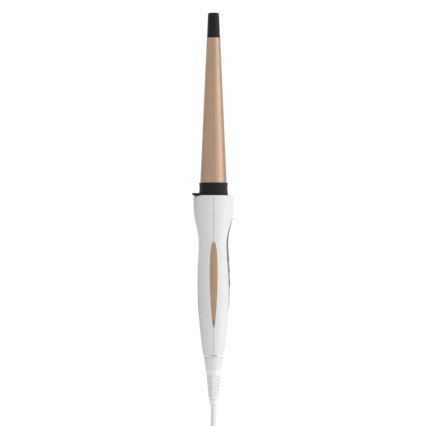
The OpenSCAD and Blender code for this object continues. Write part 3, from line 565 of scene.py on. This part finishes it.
def relief_tree(material):
    """Ribs down a mesh line, four tapered spines, the core, and the nose that comes in."""
    tree, given = node_group("ribbed_relief", "GeometryNodeTree", {"Nose": None, **relief_sizes},
                             {"Relief": None})
    length, top_r, rib_wide, rib_deep = (given[name] for name in (
        "Length", "Top Radius", "Rib Width", "Rib Depth"))
    taper = maths(tree, "DIVIDE", maths(tree, "SUBTRACT", given["End Radius"], top_r),
                  maths(tree, "MULTIPLY", length, top_r))

    first = vector(tree, z=maths(tree, "MULTIPLY", rib_wide, -0.5))
    step = vector(tree, z=maths(tree, "MULTIPLY", given["Rib Pitch"], -1))
    places = put(tree, "GeometryNodeMeshLine", {
        "Count": given["Ribs"], "Start Location": first, "Offset": step})
    hoop_r = maths(tree, "MULTIPLY_ADD", rib_deep, -rib_root / 2, top_r)
    hoop = put(tree, "GeometryNodeCurvePrimitiveCircle", {"Resolution": relief_sides, "Radius": hoop_r})
    box = put(tree, "GeometryNodeCurvePrimitiveQuadrilateral", {
        "Width": maths(tree, "MULTIPLY", rib_deep, rib_root), "Height": rib_wide})
    soft_box = put(tree, "GeometryNodeFilletCurve", {
        "Curve": box.outputs[0], "Radius": maths(tree, "MULTIPLY", rib_wide, rib_round), "Count": 2},
        mode="POLY")
    rib = put(tree, "GeometryNodeCurveToMesh", {
        "Curve": hoop.outputs[0], "Profile Curve": soft_box.outputs[0]})
    index = put(tree, "GeometryNodeInputIndex").outputs[0]
    size = maths(tree, "MULTIPLY_ADD", index, maths(tree, "MULTIPLY", taper, given["Rib Pitch"]), 1.0)
    ribs = put(tree, "GeometryNodeInstanceOnPoints", {
        "Points": places.outputs[0], "Instance": rib.outputs[0], "Scale": vector(tree, size, size, 1.0)})

    core = put(tree, "GeometryNodeMeshCone", {
        "Vertices": relief_sides, "Radius Top": maths(tree, "SUBTRACT", top_r, rib_deep),
        "Radius Bottom": maths(tree, "SUBTRACT", given["End Radius"], rib_deep), "Depth": length})
    core_at = put(tree, "GeometryNodeTransform", {
        "Geometry": core.outputs[0], "Translation": vector(tree, z=maths(tree, "MULTIPLY", length, -1))})

    bar = put(tree, "GeometryNodeMeshCube", {
        "Size": vector(tree, maths(tree, "MULTIPLY", top_r, 2), given["Spine Width"], length),
        "Vertices X": 2, "Vertices Y": 5, "Vertices Z": 12})
    parts = parts_of(tree, put(tree, "GeometryNodeInputPosition").outputs[0])
    along = maths(tree, "SUBTRACT", maths(tree, "MULTIPLY", length, 0.5), parts["Z"])
    across = maths(tree, "DIVIDE", parts["Y"], top_r)
    crown = maths(tree, "SQRT", maths(tree, "SUBTRACT", 1.0, maths(tree, "MULTIPLY", across, across)))
    reach = maths(tree, "MULTIPLY", maths(tree, "MULTIPLY", parts["X"], crown),
                  maths(tree, "MULTIPLY_ADD", along, taper, 1.0))
    down = maths(tree, "MULTIPLY_ADD", length, -0.5, parts["Z"])
    spines = put(tree, "GeometryNodeSetPosition", {
        "Geometry": bar.outputs["Mesh"], "Position": vector(tree, reach, parts["Y"], down)})
    crossed = put(tree, "GeometryNodeTransform", {
        "Geometry": spines.outputs[0], "Rotation": (0, 0, math.pi / 2)})

    joined = put(tree, "GeometryNodeJoinGeometry")
    for piece in (crossed, spines, core_at, ribs):
        tree.links.new(piece.outputs[0], joined.inputs[0])
    tree.links.new(given["Nose"], joined.inputs[0])
    real = put(tree, "GeometryNodeRealizeInstances", {0: joined.outputs[0]})
    dressed = put(tree, "GeometryNodeSetMaterial", {"Geometry": real.outputs[0], "Material": material})
    put(tree, "NodeGroupOutput", {"Relief": dressed.outputs[0]})
    return tree


def grown(base, tree, values, at=wand):
    """The plain mesh that a geometry tree with these input values makes from a base mesh."""
    holder = placed("holder", base)
    modifier = holder.modifiers.new("tree", "NODES")
    modifier.node_group = tree
    for item in tree.interface.items_tree:
        if item.in_out == "INPUT" and item.name in values:
            modifier[item.identifier] = values[item.name]
    bpy.context.view_layer.update()
    plain = bpy.data.meshes.new_from_object(holder.evaluated_get(bpy.context.evaluated_depsgraph_get()))
    bpy.data.objects.remove(holder)
    plain.transform(at)
    return smoothed(plain)


soft_white = moulded("soft_white_relief", (0.86, 0.86, 0.865), (0.83, 0.83, 0.825), (0.88, 0.88, 0.88),
                     0.4, grain_depth=0.012 * mm, corner_shade=0.85)
nose_wide, nose_narrow, nose_bore, nose_end = (
    size / mm for size in (nose_r, nose_end_r, cord_d / 2 + 0.1 * mm, -nose_len))
nose_outline = [(0, nose_lap), (nose_wide - nose_inset, nose_lap), (nose_wide - nose_inset, 0),
                (nose_wide, -nose_bevel)]
nose_outline += rounded((nose_wide, -nose_shank), (nose_narrow, nose_end), 10)
nose_outline += [(nose_bore, nose_end), (nose_bore, nose_lap - 0.1), (0, nose_lap - 0.1)]
nose = turned([(r, z - ribbed_len / mm) for r, z in nose_outline], relief_sides, at=Matrix())
show("ribbed_strain_relief", grown(nose, relief_tree(soft_white), relief_sizes, relief_at), soft_white,
     "swivel", "relief_white", "strain_relief")

# ---- Swivel cap ----
# A tapered cap in the handle's white ABS. It turns with the cord, clipped to the swivel's
# spindle, and its end is polished and rounded where the strain relief comes out, its white painted
# lighter there as a highlight.
cap_top, cap_bottom = 153.6, 169.9
cap_top_r, cap_end_r, cap_edge = 9.05, 7.1, 0.2
cap_round, cap_round_h = 0.6, 2.0
cap_bore_r, cap_bore_deep = 5.1, 3.9
lip_from_r, lip_to_r, lip_h = 5.6, 7.95, 0.4
polished_and_highlit_from = 166.1 * mm


def below_effect():
    """A mask along the upright wand: 1 below a height and 0 above it."""
    tree, given = node_group("below_height", "ShaderNodeTree", {"Height": 0.0, "Softness": 0.1 * mm},
                             {"Mask": 0.0})
    back = wand.inverted()
    upright = put(tree, "ShaderNodeMapping", {
        "Vector": on_piece(tree), "Location": back.to_translation(), "Rotation": back.to_euler()})
    over = maths(tree, "SUBTRACT", parts_of(tree, upright.outputs[0])["Z"], given["Height"])
    share = maths(tree, "DIVIDE", over, given["Softness"])
    put(tree, "NodeGroupOutput", {"Mask": spread(tree, share, -0.5, 0.5, 1.0, 0.0)})
    return tree


below = below_effect()


def base_colour(material):
    """A moulded material's tree, its shader, and what feeds the shader's colour."""
    tree = material.node_tree
    shader = next(n for n in tree.nodes if n.type == "BSDF_PRINCIPLED")
    return tree, shader, shader.inputs["Base Color"].links[0].from_socket


def banded_below(material, height, colour, **finish):
    """Gives a material another colour and finish below a height of the wand."""
    tree, shader, stock = base_colour(material)
    mask = put(tree, "ShaderNodeGroup", {"Height": height}, node_tree=below).outputs["Mask"]
    tree.links.new(mixed(tree, mask, stock, (*colour, 1)), shader.inputs["Base Color"])
    for key, value in finish.items():
        socket = shader.inputs[key.replace("_", " ")]
        above = socket.links[0].from_socket if socket.is_linked else socket.default_value
        blend = put(tree, "ShaderNodeMix", {0: mask, 2: above, 3: value}, data_type="FLOAT")
        tree.links.new(blend.outputs[0], socket)


white_cap = moulded("white_abs_cap", (0.78, 0.78, 0.785), (0.755, 0.755, 0.75), (0.84, 0.84, 0.84), 0.33,
                    grain_size=0.3 * mm, grain_depth=0.006 * mm, corner_shade=0.6)
# Below this height the cap is glossier, and its white is painted lighter: a painted highlight.
banded_below(white_cap, -polished_and_highlit_from, (0.86, 0.86, 0.86), Roughness=0.16, Coat_Weight=0.5)
cap_outline = [(0, -cap_top), (lip_from_r, -cap_top), (lip_from_r, lip_h - cap_top),
               (lip_to_r, lip_h - cap_top), (lip_to_r, -cap_top), (cap_top_r - cap_edge, -cap_top),
               (cap_top_r - 0.25 * cap_edge, -cap_top - 0.3 * cap_edge),
               (cap_top_r, -cap_top - cap_edge)]
cap_outline += rounded((cap_end_r, cap_round_h - cap_bottom), (cap_end_r - cap_round, -cap_bottom), 9)
cap_outline += [(cap_bore_r, -cap_bottom), (cap_bore_r, cap_bore_deep - cap_bottom),
                (0, cap_bore_deep - cap_bottom)]
show("cord_swivel_cap", turned(cap_outline), white_cap, "swivel", "white_plastic", "swivel_cap")

# ---- End ring ----
# A short ring in the same white ABS, its white painted a little lighter as a highlight, that clips the
# two shells together at the tail and comes in to the swivel cap. A lens-shaped slot on each side takes
# the tool that opens it.


def merged(node):
    """A copy of a CAD node's mesh with its loose triangles joined and its curved faces smooth."""
    data = frame["nodes"][node].data.copy()
    shape = bmesh.new()
    shape.from_mesh(data)
    bmesh.ops.remove_doubles(shape, verts=shape.verts, dist=0.001 * mm)
    shape.to_mesh(data)
    shape.free()
    if "custom_normal" in data.attributes:
        data.attributes.remove(data.attributes["custom_normal"])
    return smoothed(data)


# The ring's white is lighter than the shells' as a painted highlight, and its slots get strong painted
# shade.
white_ring = moulded("white_abs_ring", (0.82, 0.82, 0.825), (0.8, 0.8, 0.795), (0.86, 0.86, 0.86), 0.25,
                     grain_size=0.3 * mm, grain_depth=0.006 * mm, corner_shade=0.3)
show("notched_end_ring", merged("end_ring"), white_ring, "root", "white_plastic", "end_ring")

# ---- Swivel joint ----
# Inside the tail: the spindle of the swivel cap turns in a nylon socket held by the shells. Two
# brass slip rings on the spindle run on sprung brass brushes, and a steel clip holds it in.
finish_node("swivel_socket", moulded("grey_nylon", (0.2, 0.2, 0.21), (0.16, 0.16, 0.17),
            (0.3, 0.3, 0.31), 0.5, grain_size=0.5 * mm))
finish_node("swivel_spindle", moulded("black_nylon", (0.01, 0.01, 0.011), (0.016, 0.016, 0.017),
            (0.03, 0.03, 0.031), 0.48, grain_size=0.3 * mm))
brass = moulded("drawn_brass", (0.75, 0.56, 0.26), (0.6, 0.44, 0.21), (0.86, 0.68, 0.38), 0.3,
                grain_size=0.2 * mm, grain_depth=0.004 * mm, swing=0.16, Metallic=1.0)
finish_node("slip_rings", brass)
finish_node("brush_contacts", brass)
spring_steel = moulded("spring_steel", (0.5, 0.51, 0.53), (0.38, 0.39, 0.41), (0.7, 0.71, 0.73), 0.3,
                       grain_size=0.2 * mm, grain_depth=0.004 * mm, swing=0.14, Metallic=1.0)
finish_node("spindle_clip", spring_steel)

# ---- Handle shells ----
# Two half shells in satin white ABS, front and rear, that meet along a fine parting line on
# each side. They hold each other by two screws and by the rings at their ends.
head_d, head_len, waist_d, waist_at = 38, 11, 28.1, 45.5
belly_d, belly_at, tail_d, handle_len = 30.6, 80, 20, 149.8
skin_near, skin_facing, slope_step = 0.12, 0.93, 0.1


def swelling(d, from_at, from_d, to_at, to_d):
    """A diameter on its even way from one to another, at a distance d below the handle's top."""
    t = (1 - math.cos(math.pi * (d - from_at) / (to_at - from_at))) / 2
    return from_d + (to_d - from_d) * t


def handle_r(d):
    """The handle's radius at a distance d below its top, both in mm."""
    if d < head_len:
        return head_d / 2
    if d < waist_at:
        return swelling(d, head_len, head_d, waist_at, waist_d) / 2
    if d < belly_at:
        return swelling(d, waist_at, waist_d, belly_at, belly_d) / 2
    return (belly_d + (tail_d - belly_d) * ((d - belly_at) / (handle_len - belly_at)) ** 2) / 2


def sleek(data, off=0.0, deepest=1.5):
    """Gives the faces that lie along the handle's skin, or off from it, the skin's true normals.
    Nothing changes above deepest, where the head's edge is rounded."""
    back = wand.inverted()
    here = [back @ v.co / mm for v in data.vertices]
    turn = wand.to_3x3()
    normals = []
    for polygon in data.polygons:
        for corner in polygon.loop_indices:
            p = here[data.loops[corner].vertex_index]
            r, d = math.hypot(p.x, p.y), -p.z
            lie = Vector((0, 0, 0))
            if deepest < d < handle_len and abs(handle_r(d) + off - r) < skin_near:
                slope = (handle_r(d + slope_step) - handle_r(d - slope_step)) / (2 * slope_step)
                true = (turn @ Vector((p.x / r, p.y / r, slope))).normalized()
                if true.dot(polygon.normal) > skin_facing:
                    lie = true
            normals.append(lie)
    data.normals_split_custom_set(normals)
    return data


# The low corner share here gives deep painted shade in the parting line and the recesses.
white_abs = moulded("white_abs", (0.78, 0.78, 0.785), (0.745, 0.745, 0.74), (0.84, 0.84, 0.84), 0.33,
                    grain_size=0.3 * mm, grain_depth=0.006 * mm, corner_shade=0.15)
show("front_half_shell", sleek(merged("front_shell")), white_abs, "root", "white_plastic", "front_shell")
show("rear_half_shell", sleek(merged("rear_shell")), white_abs, "root", "white_plastic", "rear_shell")

# ---- Shell screws ----
# Two cross-head screws in zinc-plated steel. They sit deep in wells of the rear shell and cut
# their thread in the front shell's bosses.
zinc_steel = moulded("zinc_plated_steel", (0.56, 0.57, 0.58), (0.42, 0.43, 0.45), (0.75, 0.75, 0.76),
                     0.34, grain_size=0.15 * mm, grain_depth=0.004 * mm, swing=0.14, Metallic=1.0)
finish_node("shell_screws", zinc_steel)

# ---- Side inlays ----
# A leaf of trim let into each side across the parting line: moulded and lacquered rose gold,
# pressed into its recess, with painted shade on its rim. Its sunk foot is painted dark grey as shade.
inlay_at, inlay_len, inlay_foot = 44, 80.8, 0.08
foot_from = (inlay_at + inlay_len * (1 - inlay_foot)) * mm
# The lacquer's edge colour is darker than its face: painted shade along the gap round the leaf.
lacquer = moulded("rose_gold_lacquer", (0.4, 0.265, 0.174), (0.378, 0.252, 0.167), (0.26, 0.18, 0.13),
                  0.42, grain_size=0.12 * mm, grain_depth=0.004 * mm, edge=0.8 * mm, Metallic=0.85)
# The foot's dark grey is painted shade in the recess's tip.
banded_below(lacquer, -foot_from, (0.2, 0.195, 0.19), Metallic=0.0)
for hand in ("left", "right"):
    show(hand + "_leaf_inlay", sleek(merged(hand + "_inlay")), lacquer, "root", "rose_gold_trim",
         hand + "_inlay")

# ---- Control panel ----
# A leaf of glossy acrylic, dark bronze, let into the front shell a hair proud of it. It frames
# the display and the three buttons.
panel_proud = 0.25
dark_bronze = moulded("dark_bronze_acrylic", (0.12, 0.094, 0.08), (0.108, 0.086, 0.074),
                      (0.18, 0.145, 0.12), 0.16, grain_size=0.5 * mm, grain_depth=0.003 * mm,
                      edge=0.2 * mm, Coat_Weight=0.3)
show("leaf_panel", sleek(merged("control_panel"), panel_proud), dark_bronze, "root", "bronze_panel",
     "control_panel")

# ---- Display ----
# A small liquid-crystal display behind a smoked acrylic window, on a moulded holder that
# stands on the control board.
window_proud = 0.15
smoked = moulded("smoked_acrylic", (0.006, 0.006, 0.007), (0.009, 0.009, 0.01), (0.02, 0.02, 0.021),
                 0.08, grain_size=0.6 * mm, grain_depth=0.002 * mm, swing=0.04, Coat_Weight=0.4)
show("smoked_window", sleek(merged("display_lens"), window_proud), smoked, "root", "smoked_lens",
     "display_lens")
finish_node("display_unit", moulded("display_glass", (0.2, 0.24, 0.2), (0.17, 0.2, 0.17),
            (0.3, 0.34, 0.3), 0.12, grain_size=0.3 * mm, grain_depth=0.002 * mm))
finish_node("display_holder", moulded("holder_grey", (0.5, 0.5, 0.5), (0.44, 0.44, 0.44),
            (0.6, 0.6, 0.6), 0.5))

# ---- Buttons ----
# Three round push buttons in satin black: plus, minus and power. Each has a stem that presses
# its switch, a flange that holds it under the shell, and a light symbol printed on its cap.
button_proud, print_t, print_sunk = 0.35, 0.08, 0.05
stroke_len, stroke = 2.6, 0.5
power_r, power_stroke, power_gap, power_from, power_to = 1.45, 0.42, 70, 0.2, 1.9
button_black = moulded("button_black", (0.008, 0.008, 0.009), (0.012, 0.012, 0.013), (0.03, 0.03, 0.031),
                       0.4, grain_size=0.25 * mm, grain_depth=0.006 * mm, edge=0.15 * mm)
symbol_print = moulded("pale_symbol_print", (0.62, 0.6, 0.57), (0.56, 0.54, 0.51), (0.7, 0.68, 0.65),
                       0.5, grain_size=0.1 * mm, grain_depth=0.004 * mm)


def bar_outline(y_from, y_to, z_from, z_to):
    """A bar's corners, from the middle of a button's cap."""
    return [(y_from, z_from), (y_to, z_from), (y_to, z_to), (y_from, z_to)]


def arc_outline(radius, width, start, end, steps=28):
    """A part ring's edge, there and back."""
    turns = [math.radians(start + (end - start) * k / steps) for k in range(steps + 1)]
    return [(r * math.cos(a), r * math.sin(a)) for r, way in (
        (radius + width / 2, turns), (radius - width / 2, turns[::-1])) for a in way]


def printed(outlines, at):
    """Thin printed shapes on the cap of the button at a distance below the handle's top, in mm."""
    shape = bmesh.new()
    for outline in outlines:
        count = len(outline)
        rings = []
        for raised in (-print_sunk, print_t):
            ring = []
            for y, z in outline:
                skin = handle_r(at - z) + button_proud + raised
                ring.append(shape.verts.new((math.sqrt(skin ** 2 - y ** 2) * mm, y * mm, (z - at) * mm)))
            for k in range(count // 2 - 1):
                shape.faces.new((ring[k], ring[k + 1], ring[count - 2 - k], ring[count - 1 - k]))
            rings.append(ring)
        skinned(shape, rings)
    return solid(shape, at=wand)


level_bar = bar_outline(-stroke_len / 2, stroke_len / 2, -stroke / 2, stroke / 2)
upright_bar = bar_outline(-stroke / 2, stroke / 2, -stroke_len / 2, stroke_len / 2)
power_ring = arc_outline(power_r, power_stroke, 90 + power_gap / 2, 450 - power_gap / 2)
power_bar = bar_outline(-power_stroke / 2, power_stroke / 2, power_from, power_to)
for kind, at, sign in (("plus", 60, [level_bar, upright_bar]), ("minus", 70.5, [level_bar]),
                       ("power", 83, [power_ring, power_bar])):
    show(kind + "_push_button", sleek(merged(kind + "_button"), button_proud), button_black,
         kind + "_body", "button_black", kind + "_button")
    show(kind + "_symbol", printed(sign, at), symbol_print, kind + "_body", "white_plastic")

# ---- Control board ----
# A glass-fibre board under green solder resist, screwed to two posts of the front shell. It
# carries the switches, the control chip, a film capacitor and the heater's triac.


def board_material():
    """Solder resist over copper tracks, which show through it a little lighter."""
    material = moulded("green_solder_resist", (0.012, 0.1, 0.045), (0.01, 0.075, 0.035),
                       (0.1, 0.22, 0.13), 0.3, grain_size=0.3 * mm, grain_depth=0.004 * mm)
    tree, shader, resist = base_colour(material)
    cells = put(tree, "ShaderNodeTexVoronoi", {"Vector": on_piece(tree), "Scale": 420.0},
                feature="DISTANCE_TO_EDGE", distance="EUCLIDEAN")
    track = spread(tree, cells.outputs["Distance"], 0.04, 0.07, 1.0, 0.0)
    tree.links.new(mixed(tree, track, resist, (0.04, 0.2, 0.09, 1)), shader.inputs["Base Color"])
    return material


finish_node("control_board", board_material())
finish_node("board_screws", zinc_steel)
chip_black = moulded("moulded_epoxy", (0.012, 0.012, 0.013), (0.018, 0.018, 0.019),
                     (0.035, 0.035, 0.036), 0.55, grain_size=0.12 * mm, grain_depth=0.008 * mm)
for node in ("control_chip", "power_triac", "tact_switches"):
    finish_node(node, chip_black)
finish_node("power_capacitor", moulded("capacitor_lacquer", (0.3, 0.03, 0.02), (0.24, 0.025, 0.018),
            (0.42, 0.07, 0.05), 0.28, grain_size=0.5 * mm))

# ---- Leads ----
# Stranded wires in silicone: a red pair from the board to the heater, and a blue pair from
# the swivel's brushes to the board.
finish_node("heater_leads", moulded("red_silicone", (0.4, 0.02, 0.015), (0.33, 0.02, 0.015),
            (0.5, 0.06, 0.05), 0.45, grain_size=0.2 * mm))
finish_node("mains_leads", moulded("blue_silicone", (0.02, 0.07, 0.36), (0.018, 0.055, 0.29),
            (0.06, 0.13, 0.45), 0.45, grain_size=0.2 * mm))

# ---- Rest plate ----
# A round plate in black heat-resistant nylon under the collar. Its lip stands out at the back
# as the foot that keeps the hot barrel off the table.
black_heatproof = moulded("black_heatproof_nylon", (0.0078, 0.0079, 0.0084), (0.0105, 0.0106, 0.0112),
                          (0.03, 0.03, 0.032), 0.38, grain_size=0.2 * mm, grain_depth=0.01 * mm,
                          edge=0.25 * mm, Specular_IOR_Level=0.16)
show("rest_plate_and_foot", merged("rest_plate"), black_heatproof, "root", "black_plastic", "rest_plate")

# ---- Collar ----
# A waisted ring in the same black nylon round the barrel's root. It keeps fingers from the hot
# metal and covers the joint of barrel and handle.
plate_t, collar_h, collar_r, collar_waist, collar_bore = 2.1, 9.8, 13.7, 0.3, 10.6
collar_edge, collar_rows = 0.25, 24
collar_outline = [(collar_bore, plate_t + collar_h), (collar_bore, plate_t)]
for k in range(collar_rows + 1):
    t = k / collar_rows
    inset = max(0, collar_edge - min(t, 1 - t) * collar_h)
    collar_outline.append((collar_r - collar_waist * math.sin(math.pi * t) - inset ** 2 / collar_edge,
                           plate_t + collar_h * t))
show("waisted_collar", turned(collar_outline, closed=True), black_heatproof, "root", "black_plastic",
     "collar")

# ---- Neck bushing and ring ----
# The barrel's neck sits in a tan ceramic-filled bushing, which the head's rib traps, and a
# split steel ring below it holds the neck.
finish_node("neck_bushing", moulded("tan_ceramic_compound", (0.5, 0.4, 0.27), (0.42, 0.33, 0.22),
            (0.6, 0.5, 0.36), 0.6, grain_size=0.5 * mm, grain_depth=0.02 * mm))
finish_node("retaining_ring", spring_steel)

# ---- Barrel ----
# A conical barrel drawn from 1.3 mm aluminium, sprayed with a satin rose gold ceramic coat
# that is baked on. Its neck runs down through the collar into the handle's head.
barrel_z, barrel_len = 11.9, 137.6
barrel_r, barrel_tip_r, barrel_wall = 12.6, 6.45, 1.3
barrel_edge, barrel_chamfer, shoulder_t = 0.15, 0.35, 2
neck_r, neck_bottom, groove_from, groove_to, groove_depth = 10.5, -10, -8.1, -7.05, 0.5
barrel_top = barrel_z + barrel_len
bore_r, neck_bore_r, groove_r = barrel_r - barrel_wall, neck_r - barrel_wall, neck_r - groove_depth
barrel_rows = 12
barrel_sizes = {"Sides": 192, "Foot Radius": barrel_r * mm, "Tip Radius": barrel_tip_r * mm,
                "Taper From": barrel_z * mm, "Taper To": barrel_top * mm}


def drawn_tree(material):
    """A tube's wall section swept round the axis, then drawn in by an even taper along its height."""
    tree, given = node_group("drawn_barrel", "GeometryNodeTree", {"Wall Section": None, **barrel_sizes},
                             {"Barrel": None})
    section = put(tree, "GeometryNodeMeshToCurve", {"Mesh": given["Wall Section"]}).outputs[0]
    round_axis = put(tree, "GeometryNodeCurvePrimitiveCircle", {
        "Resolution": given["Sides"], "Radius": given["Foot Radius"]}).outputs[0]
    tube = put(tree, "GeometryNodeCurveToMesh", {"Curve": round_axis, "Profile Curve": section})
    parts = parts_of(tree, put(tree, "GeometryNodeInputPosition").outputs[0])
    outwards = put(tree, "ShaderNodeVectorMath", {0: vector(tree, parts["X"], parts["Y"])},
                   operation="NORMALIZE").outputs[0]
    share = spread(tree, parts["Z"], given["Taper From"], given["Taper To"])
    gain = maths(tree, "SUBTRACT", given["Tip Radius"], given["Foot Radius"])
    moves = put(tree, "ShaderNodeVectorMath", {
        0: outwards, "Scale": maths(tree, "MULTIPLY", share, gain)}, operation="SCALE")
    drawn = put(tree, "GeometryNodeSetPosition", {
        "Geometry": tube.outputs[0], "Offset": moves.outputs[0]})
    real = put(tree, "GeometryNodeRealizeInstances", {0: drawn.outputs[0]})
    dressed = put(tree, "GeometryNodeSetMaterial", {"Geometry": real.outputs[0], "Material": material})
    put(tree, "NodeGroupOutput", {"Barrel": dressed.outputs[0]})
    return tree


wall_section = [(neck_bore_r, neck_bottom), (neck_r, neck_bottom), (neck_r, groove_from),
                (groove_r, groove_from), (groove_r, groove_to), (neck_r, groove_to), (neck_r, barrel_z),
                (barrel_r - barrel_edge, barrel_z), (barrel_r, barrel_z + barrel_edge)]
wall_section += [(barrel_r, barrel_z + barrel_len * k / barrel_rows) for k in range(1, barrel_rows)]
wall_section += [(barrel_r, barrel_top - barrel_chamfer),
                 (barrel_r - 0.3 * barrel_chamfer, barrel_top - 0.3 * barrel_chamfer),
                 (barrel_r - barrel_chamfer, barrel_top), (bore_r, barrel_top),
                 (bore_r, barrel_z + shoulder_t), (neck_bore_r, barrel_z + shoulder_t)]
section_mesh = bpy.data.meshes.new("wall_section")
# A swept section stands upside down and is measured from the circle that it follows
section_mesh.from_pydata([((r - barrel_r) * mm, -z * mm, 0) for r, z in reversed(wall_section)],
                         [(k, (k + 1) % len(wall_section)) for k in range(len(wall_section))], [])
coat = moulded("rose_gold_coat", (0.42, 0.286, 0.2), (0.385, 0.26, 0.183), (0.5, 0.38, 0.29), 0.27,
               grain_size=0.1 * mm, grain_depth=0.0015 * mm, swing=0.05, Metallic=0.9)
show("coated_barrel", grown(section_mesh, drawn_tree(coat), barrel_sizes), coat, "root",
     "rose_gold_barrel", "barrel")

# ---- Heater ----
# A flat ceramic element clamped between two half-round aluminium shoes that fit the barrel's
# bore. A sensor and a thermal fuse sit in wells in the shoes' feet.
aluminium = moulded("extruded_aluminium", (0.66, 0.67, 0.69), (0.56, 0.57, 0.59), (0.8, 0.8, 0.81), 0.36,
                    grain_size=0.3 * mm, grain_depth=0.006 * mm, swing=0.14, Metallic=1.0)
finish_node("heater_shoes", aluminium)
finish_node("heater_element", moulded("white_alumina", (0.68, 0.65, 0.58), (0.6, 0.57, 0.5),
            (0.75, 0.72, 0.66), 0.65, grain_size=0.2 * mm, grain_depth=0.015 * mm))
finish_node("temperature_sensor", chip_black)
finish_node("thermal_fuse", spring_steel)

# ---- Cool tip ----
# A tapered cap in black heat-resistant nylon, plugged into the barrel's end by its spigot. It
# stays cool enough to hold.
tip_len, tip_end_r, tip_round, tip_inset = 23.6, 5.3, 1, 0.25
spigot_r, spigot_len, tip_wall, tip_cone = 5.1, 10, 1.6, 3
tip_gap, tip_dish, rim_r, dish_r = 0.1, 0.12, 3.7, 3.1
tip_top, tip_foot = barrel_top + tip_len, barrel_top + tip_gap
tip_r, tip_bore_r = barrel_tip_r - tip_inset, spigot_r - tip_wall
tip_outline = [(0, barrel_top + tip_wall + tip_cone), (tip_bore_r, barrel_top + tip_wall),
               (tip_bore_r, barrel_top - spigot_len), (spigot_r, barrel_top - spigot_len),
               (spigot_r, tip_foot), (tip_r - 0.1, tip_foot), (tip_r, tip_foot + 0.1)]
tip_outline += rounded((tip_end_r, tip_top - tip_round), (tip_end_r - tip_round, tip_top), 10)
tip_outline += [(rim_r, tip_top), (dish_r, tip_top - tip_dish), (0, tip_top - tip_dish)]
show("tapered_cool_tip", turned(tip_outline, sharp=30), black_heatproof, "root", "black_plastic",
     "cool_tip")
